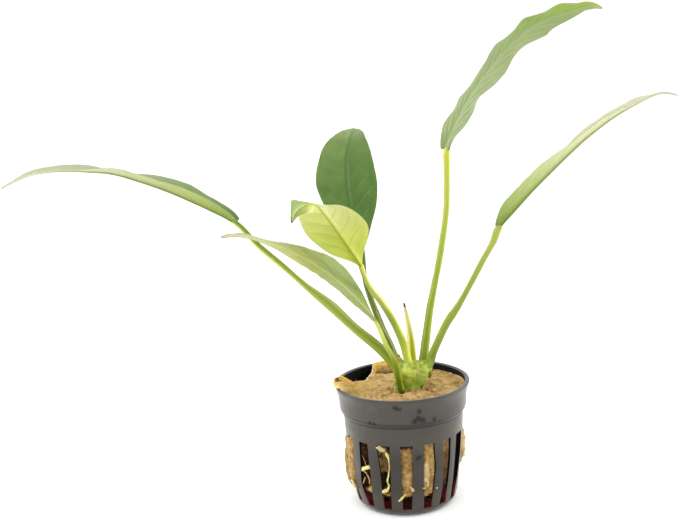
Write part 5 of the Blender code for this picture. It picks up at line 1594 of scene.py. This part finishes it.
def make_fibres(wool, finish):
    """Loose fibres that stand out of the plug's top and slots, each a thin bent spindle."""
    mesh = wool.data
    dark, orange = point_values(mesh, "dark"), point_values(mesh, "orange")
    shown = []
    for face in mesh.polygons:
        centre = face.center
        if centre.z > 44 * MM and face.normal.z > 0.1:
            turn = math.degrees(math.atan2(centre.y, centre.x)) % 360
            clear = 23.0 - 1.15 * float(np.interp(turn, *BITE_MM))
            if centre.xy.length < clear * MM:
                shown.append(face)
        elif 7.5 * MM < centre.z < 30.5 * MM and centre.xy.length > 14 * MM:
            azimuth = math.atan2(centre.x, -centre.y)
            if abs(slot_place(azimuth, centre.z)[1]) < 0.82:
                shown.append(face)
    areas = np.array([face.area for face in shown])
    picks = RANDOM.choice(len(shown), size=FIBRE_COUNT, p=areas / areas.sum())
    points, faces, values = [], [], {"dark": [], "orange": [], "cream": []}
    for pick in picks:
        face = shown[pick]
        out = face.normal
        turn = RANDOM.uniform(0, math.tau)
        flat = out.orthogonal().normalized()
        flat.rotate(Matrix.Rotation(turn, 3, out))
        length = RANDOM.uniform(1.0, 2.8) * MM
        lift = RANDOM.uniform(0.0, 0.22)
        ahead = (flat + out * lift).normalized()
        bend = out.cross(flat) * RANDOM.uniform(-0.35, 0.35) - out * RANDOM.uniform(0.1, 0.5)
        radius = RANDOM.uniform(0.04, 0.085) * MM
        start = face.center - out * 0.1 * MM - ahead * length * 0.3
        centres = [start + ahead * length * t + bend * length * (t - 0.5) ** 2 for t in (0, 0.33, 0.67, 1)]
        side = ahead.cross(out).normalized()
        first = len(points)
        points.append(centres[0])
        for centre in centres[1:3]:
            for k in range(3):
                a = math.tau * k / 3
                points.append(centre + (side * math.cos(a) + out * math.sin(a)) * radius)
        points.append(centres[3])
        for k in range(3):
            m = (k + 1) % 3
            faces.append((first, first + 1 + m, first + 1 + k))
            faces.append((first + 1 + k, first + 1 + m, first + 4 + m, first + 4 + k))
            faces.append((first + 4 + k, first + 4 + m, first + 7))
        # A fibre takes the dark value, the wool's painted shade, where it grows
        depth = float(dark[face.vertices[0]]) * 0.8
        warm = float(orange[face.vertices[0]])
        values["dark"] += [depth] * 8
        values["orange"] += [warm] * 8
        values["cream"] += [RANDOM.uniform(0.0, 0.5) * (1 - depth)] * 8
    return add_piece("rock_wool_fibres", points, faces, (finish,), values=values)


def make_floor(finish):
    mesh = bpy.data.meshes.new("floor")
    half = FLOOR_HALF_WIDTH
    corners = [(-half, -half, 0), (half, -half, 0), (half, half, 0), (-half, half, 0)]
    mesh.from_pydata(corners, [], [(0, 1, 2, 3)])
    mesh.materials.append(finish)
    floor = add_object("floor", mesh)


def light_studio():
    """A white world and three soft lights."""
    world = bpy.data.worlds.new("white_studio")
    world.use_nodes = True
    background = world.node_tree.nodes["Background"]
    background.inputs[0].default_value = (1.0, 1.0, 1.0, 1.0)
    background.inputs[1].default_value = WORLD_STRENGTH
    bpy.context.scene.world = world
    bpy.context.scene.view_settings.view_transform = "Standard"
    for name, place, size, power in LIGHTS:
        data = bpy.data.lights.new(name, "AREA")
        data.shape = "SQUARE"
        data.size = size
        data.energy = power
        light = add_object(name, data)
        light.location = place
        light.rotation_mode = "QUATERNION"
        light.rotation_quaternion = (Vector(LIGHT_AIM) - Vector(place)).to_track_quat("-Z", "Y")


def make_camera():
    """The photograph's camera: looking down a little, and rolled a little."""
    ahead = Vector((0, math.cos(CAMERA_PITCH), -math.sin(CAMERA_PITCH)))
    level = Vector((1, 0, 0))
    above = level.cross(ahead)
    right = math.cos(CAMERA_ROLL) * level + math.sin(CAMERA_ROLL) * above
    up = -math.sin(CAMERA_ROLL) * level + math.cos(CAMERA_ROLL) * above
    data = bpy.data.cameras.new("camera")
    data.sensor_width = SENSOR_WIDTH_MM
    data.lens = SENSOR_WIDTH_MM * FOCAL_LENGTH_PX / IMAGE_WIDTH_PX
    camera = add_object("camera", data)
    matrix = Matrix((right, up, -ahead)).transposed().to_4x4()
    matrix.translation = Vector(CAMERA_PLACE)
    camera.matrix_world = matrix
    bpy.context.scene.camera = camera


make_camera()
light_studio()
make_floor(floor_material())
make_pot(pot_material(), dark_inside_material())
wool_finish = wool_material("rock_wool")
wool_piece = make_wool(wool_finish)
make_fibres(wool_piece, wool_material("rock_wool_fibre", 0.2))
make_crown(rhizome_material())
for leaf_name, leaf in LEAVES.items():
    make_stalk(leaf_name, leaf, STALK_LOOKS[leaf_name])
    make_blade(leaf_name, leaf, BLADE_LOOKS[leaf_name])
make_spike(spike_material())
make_roots(root_material(), wool_finish)
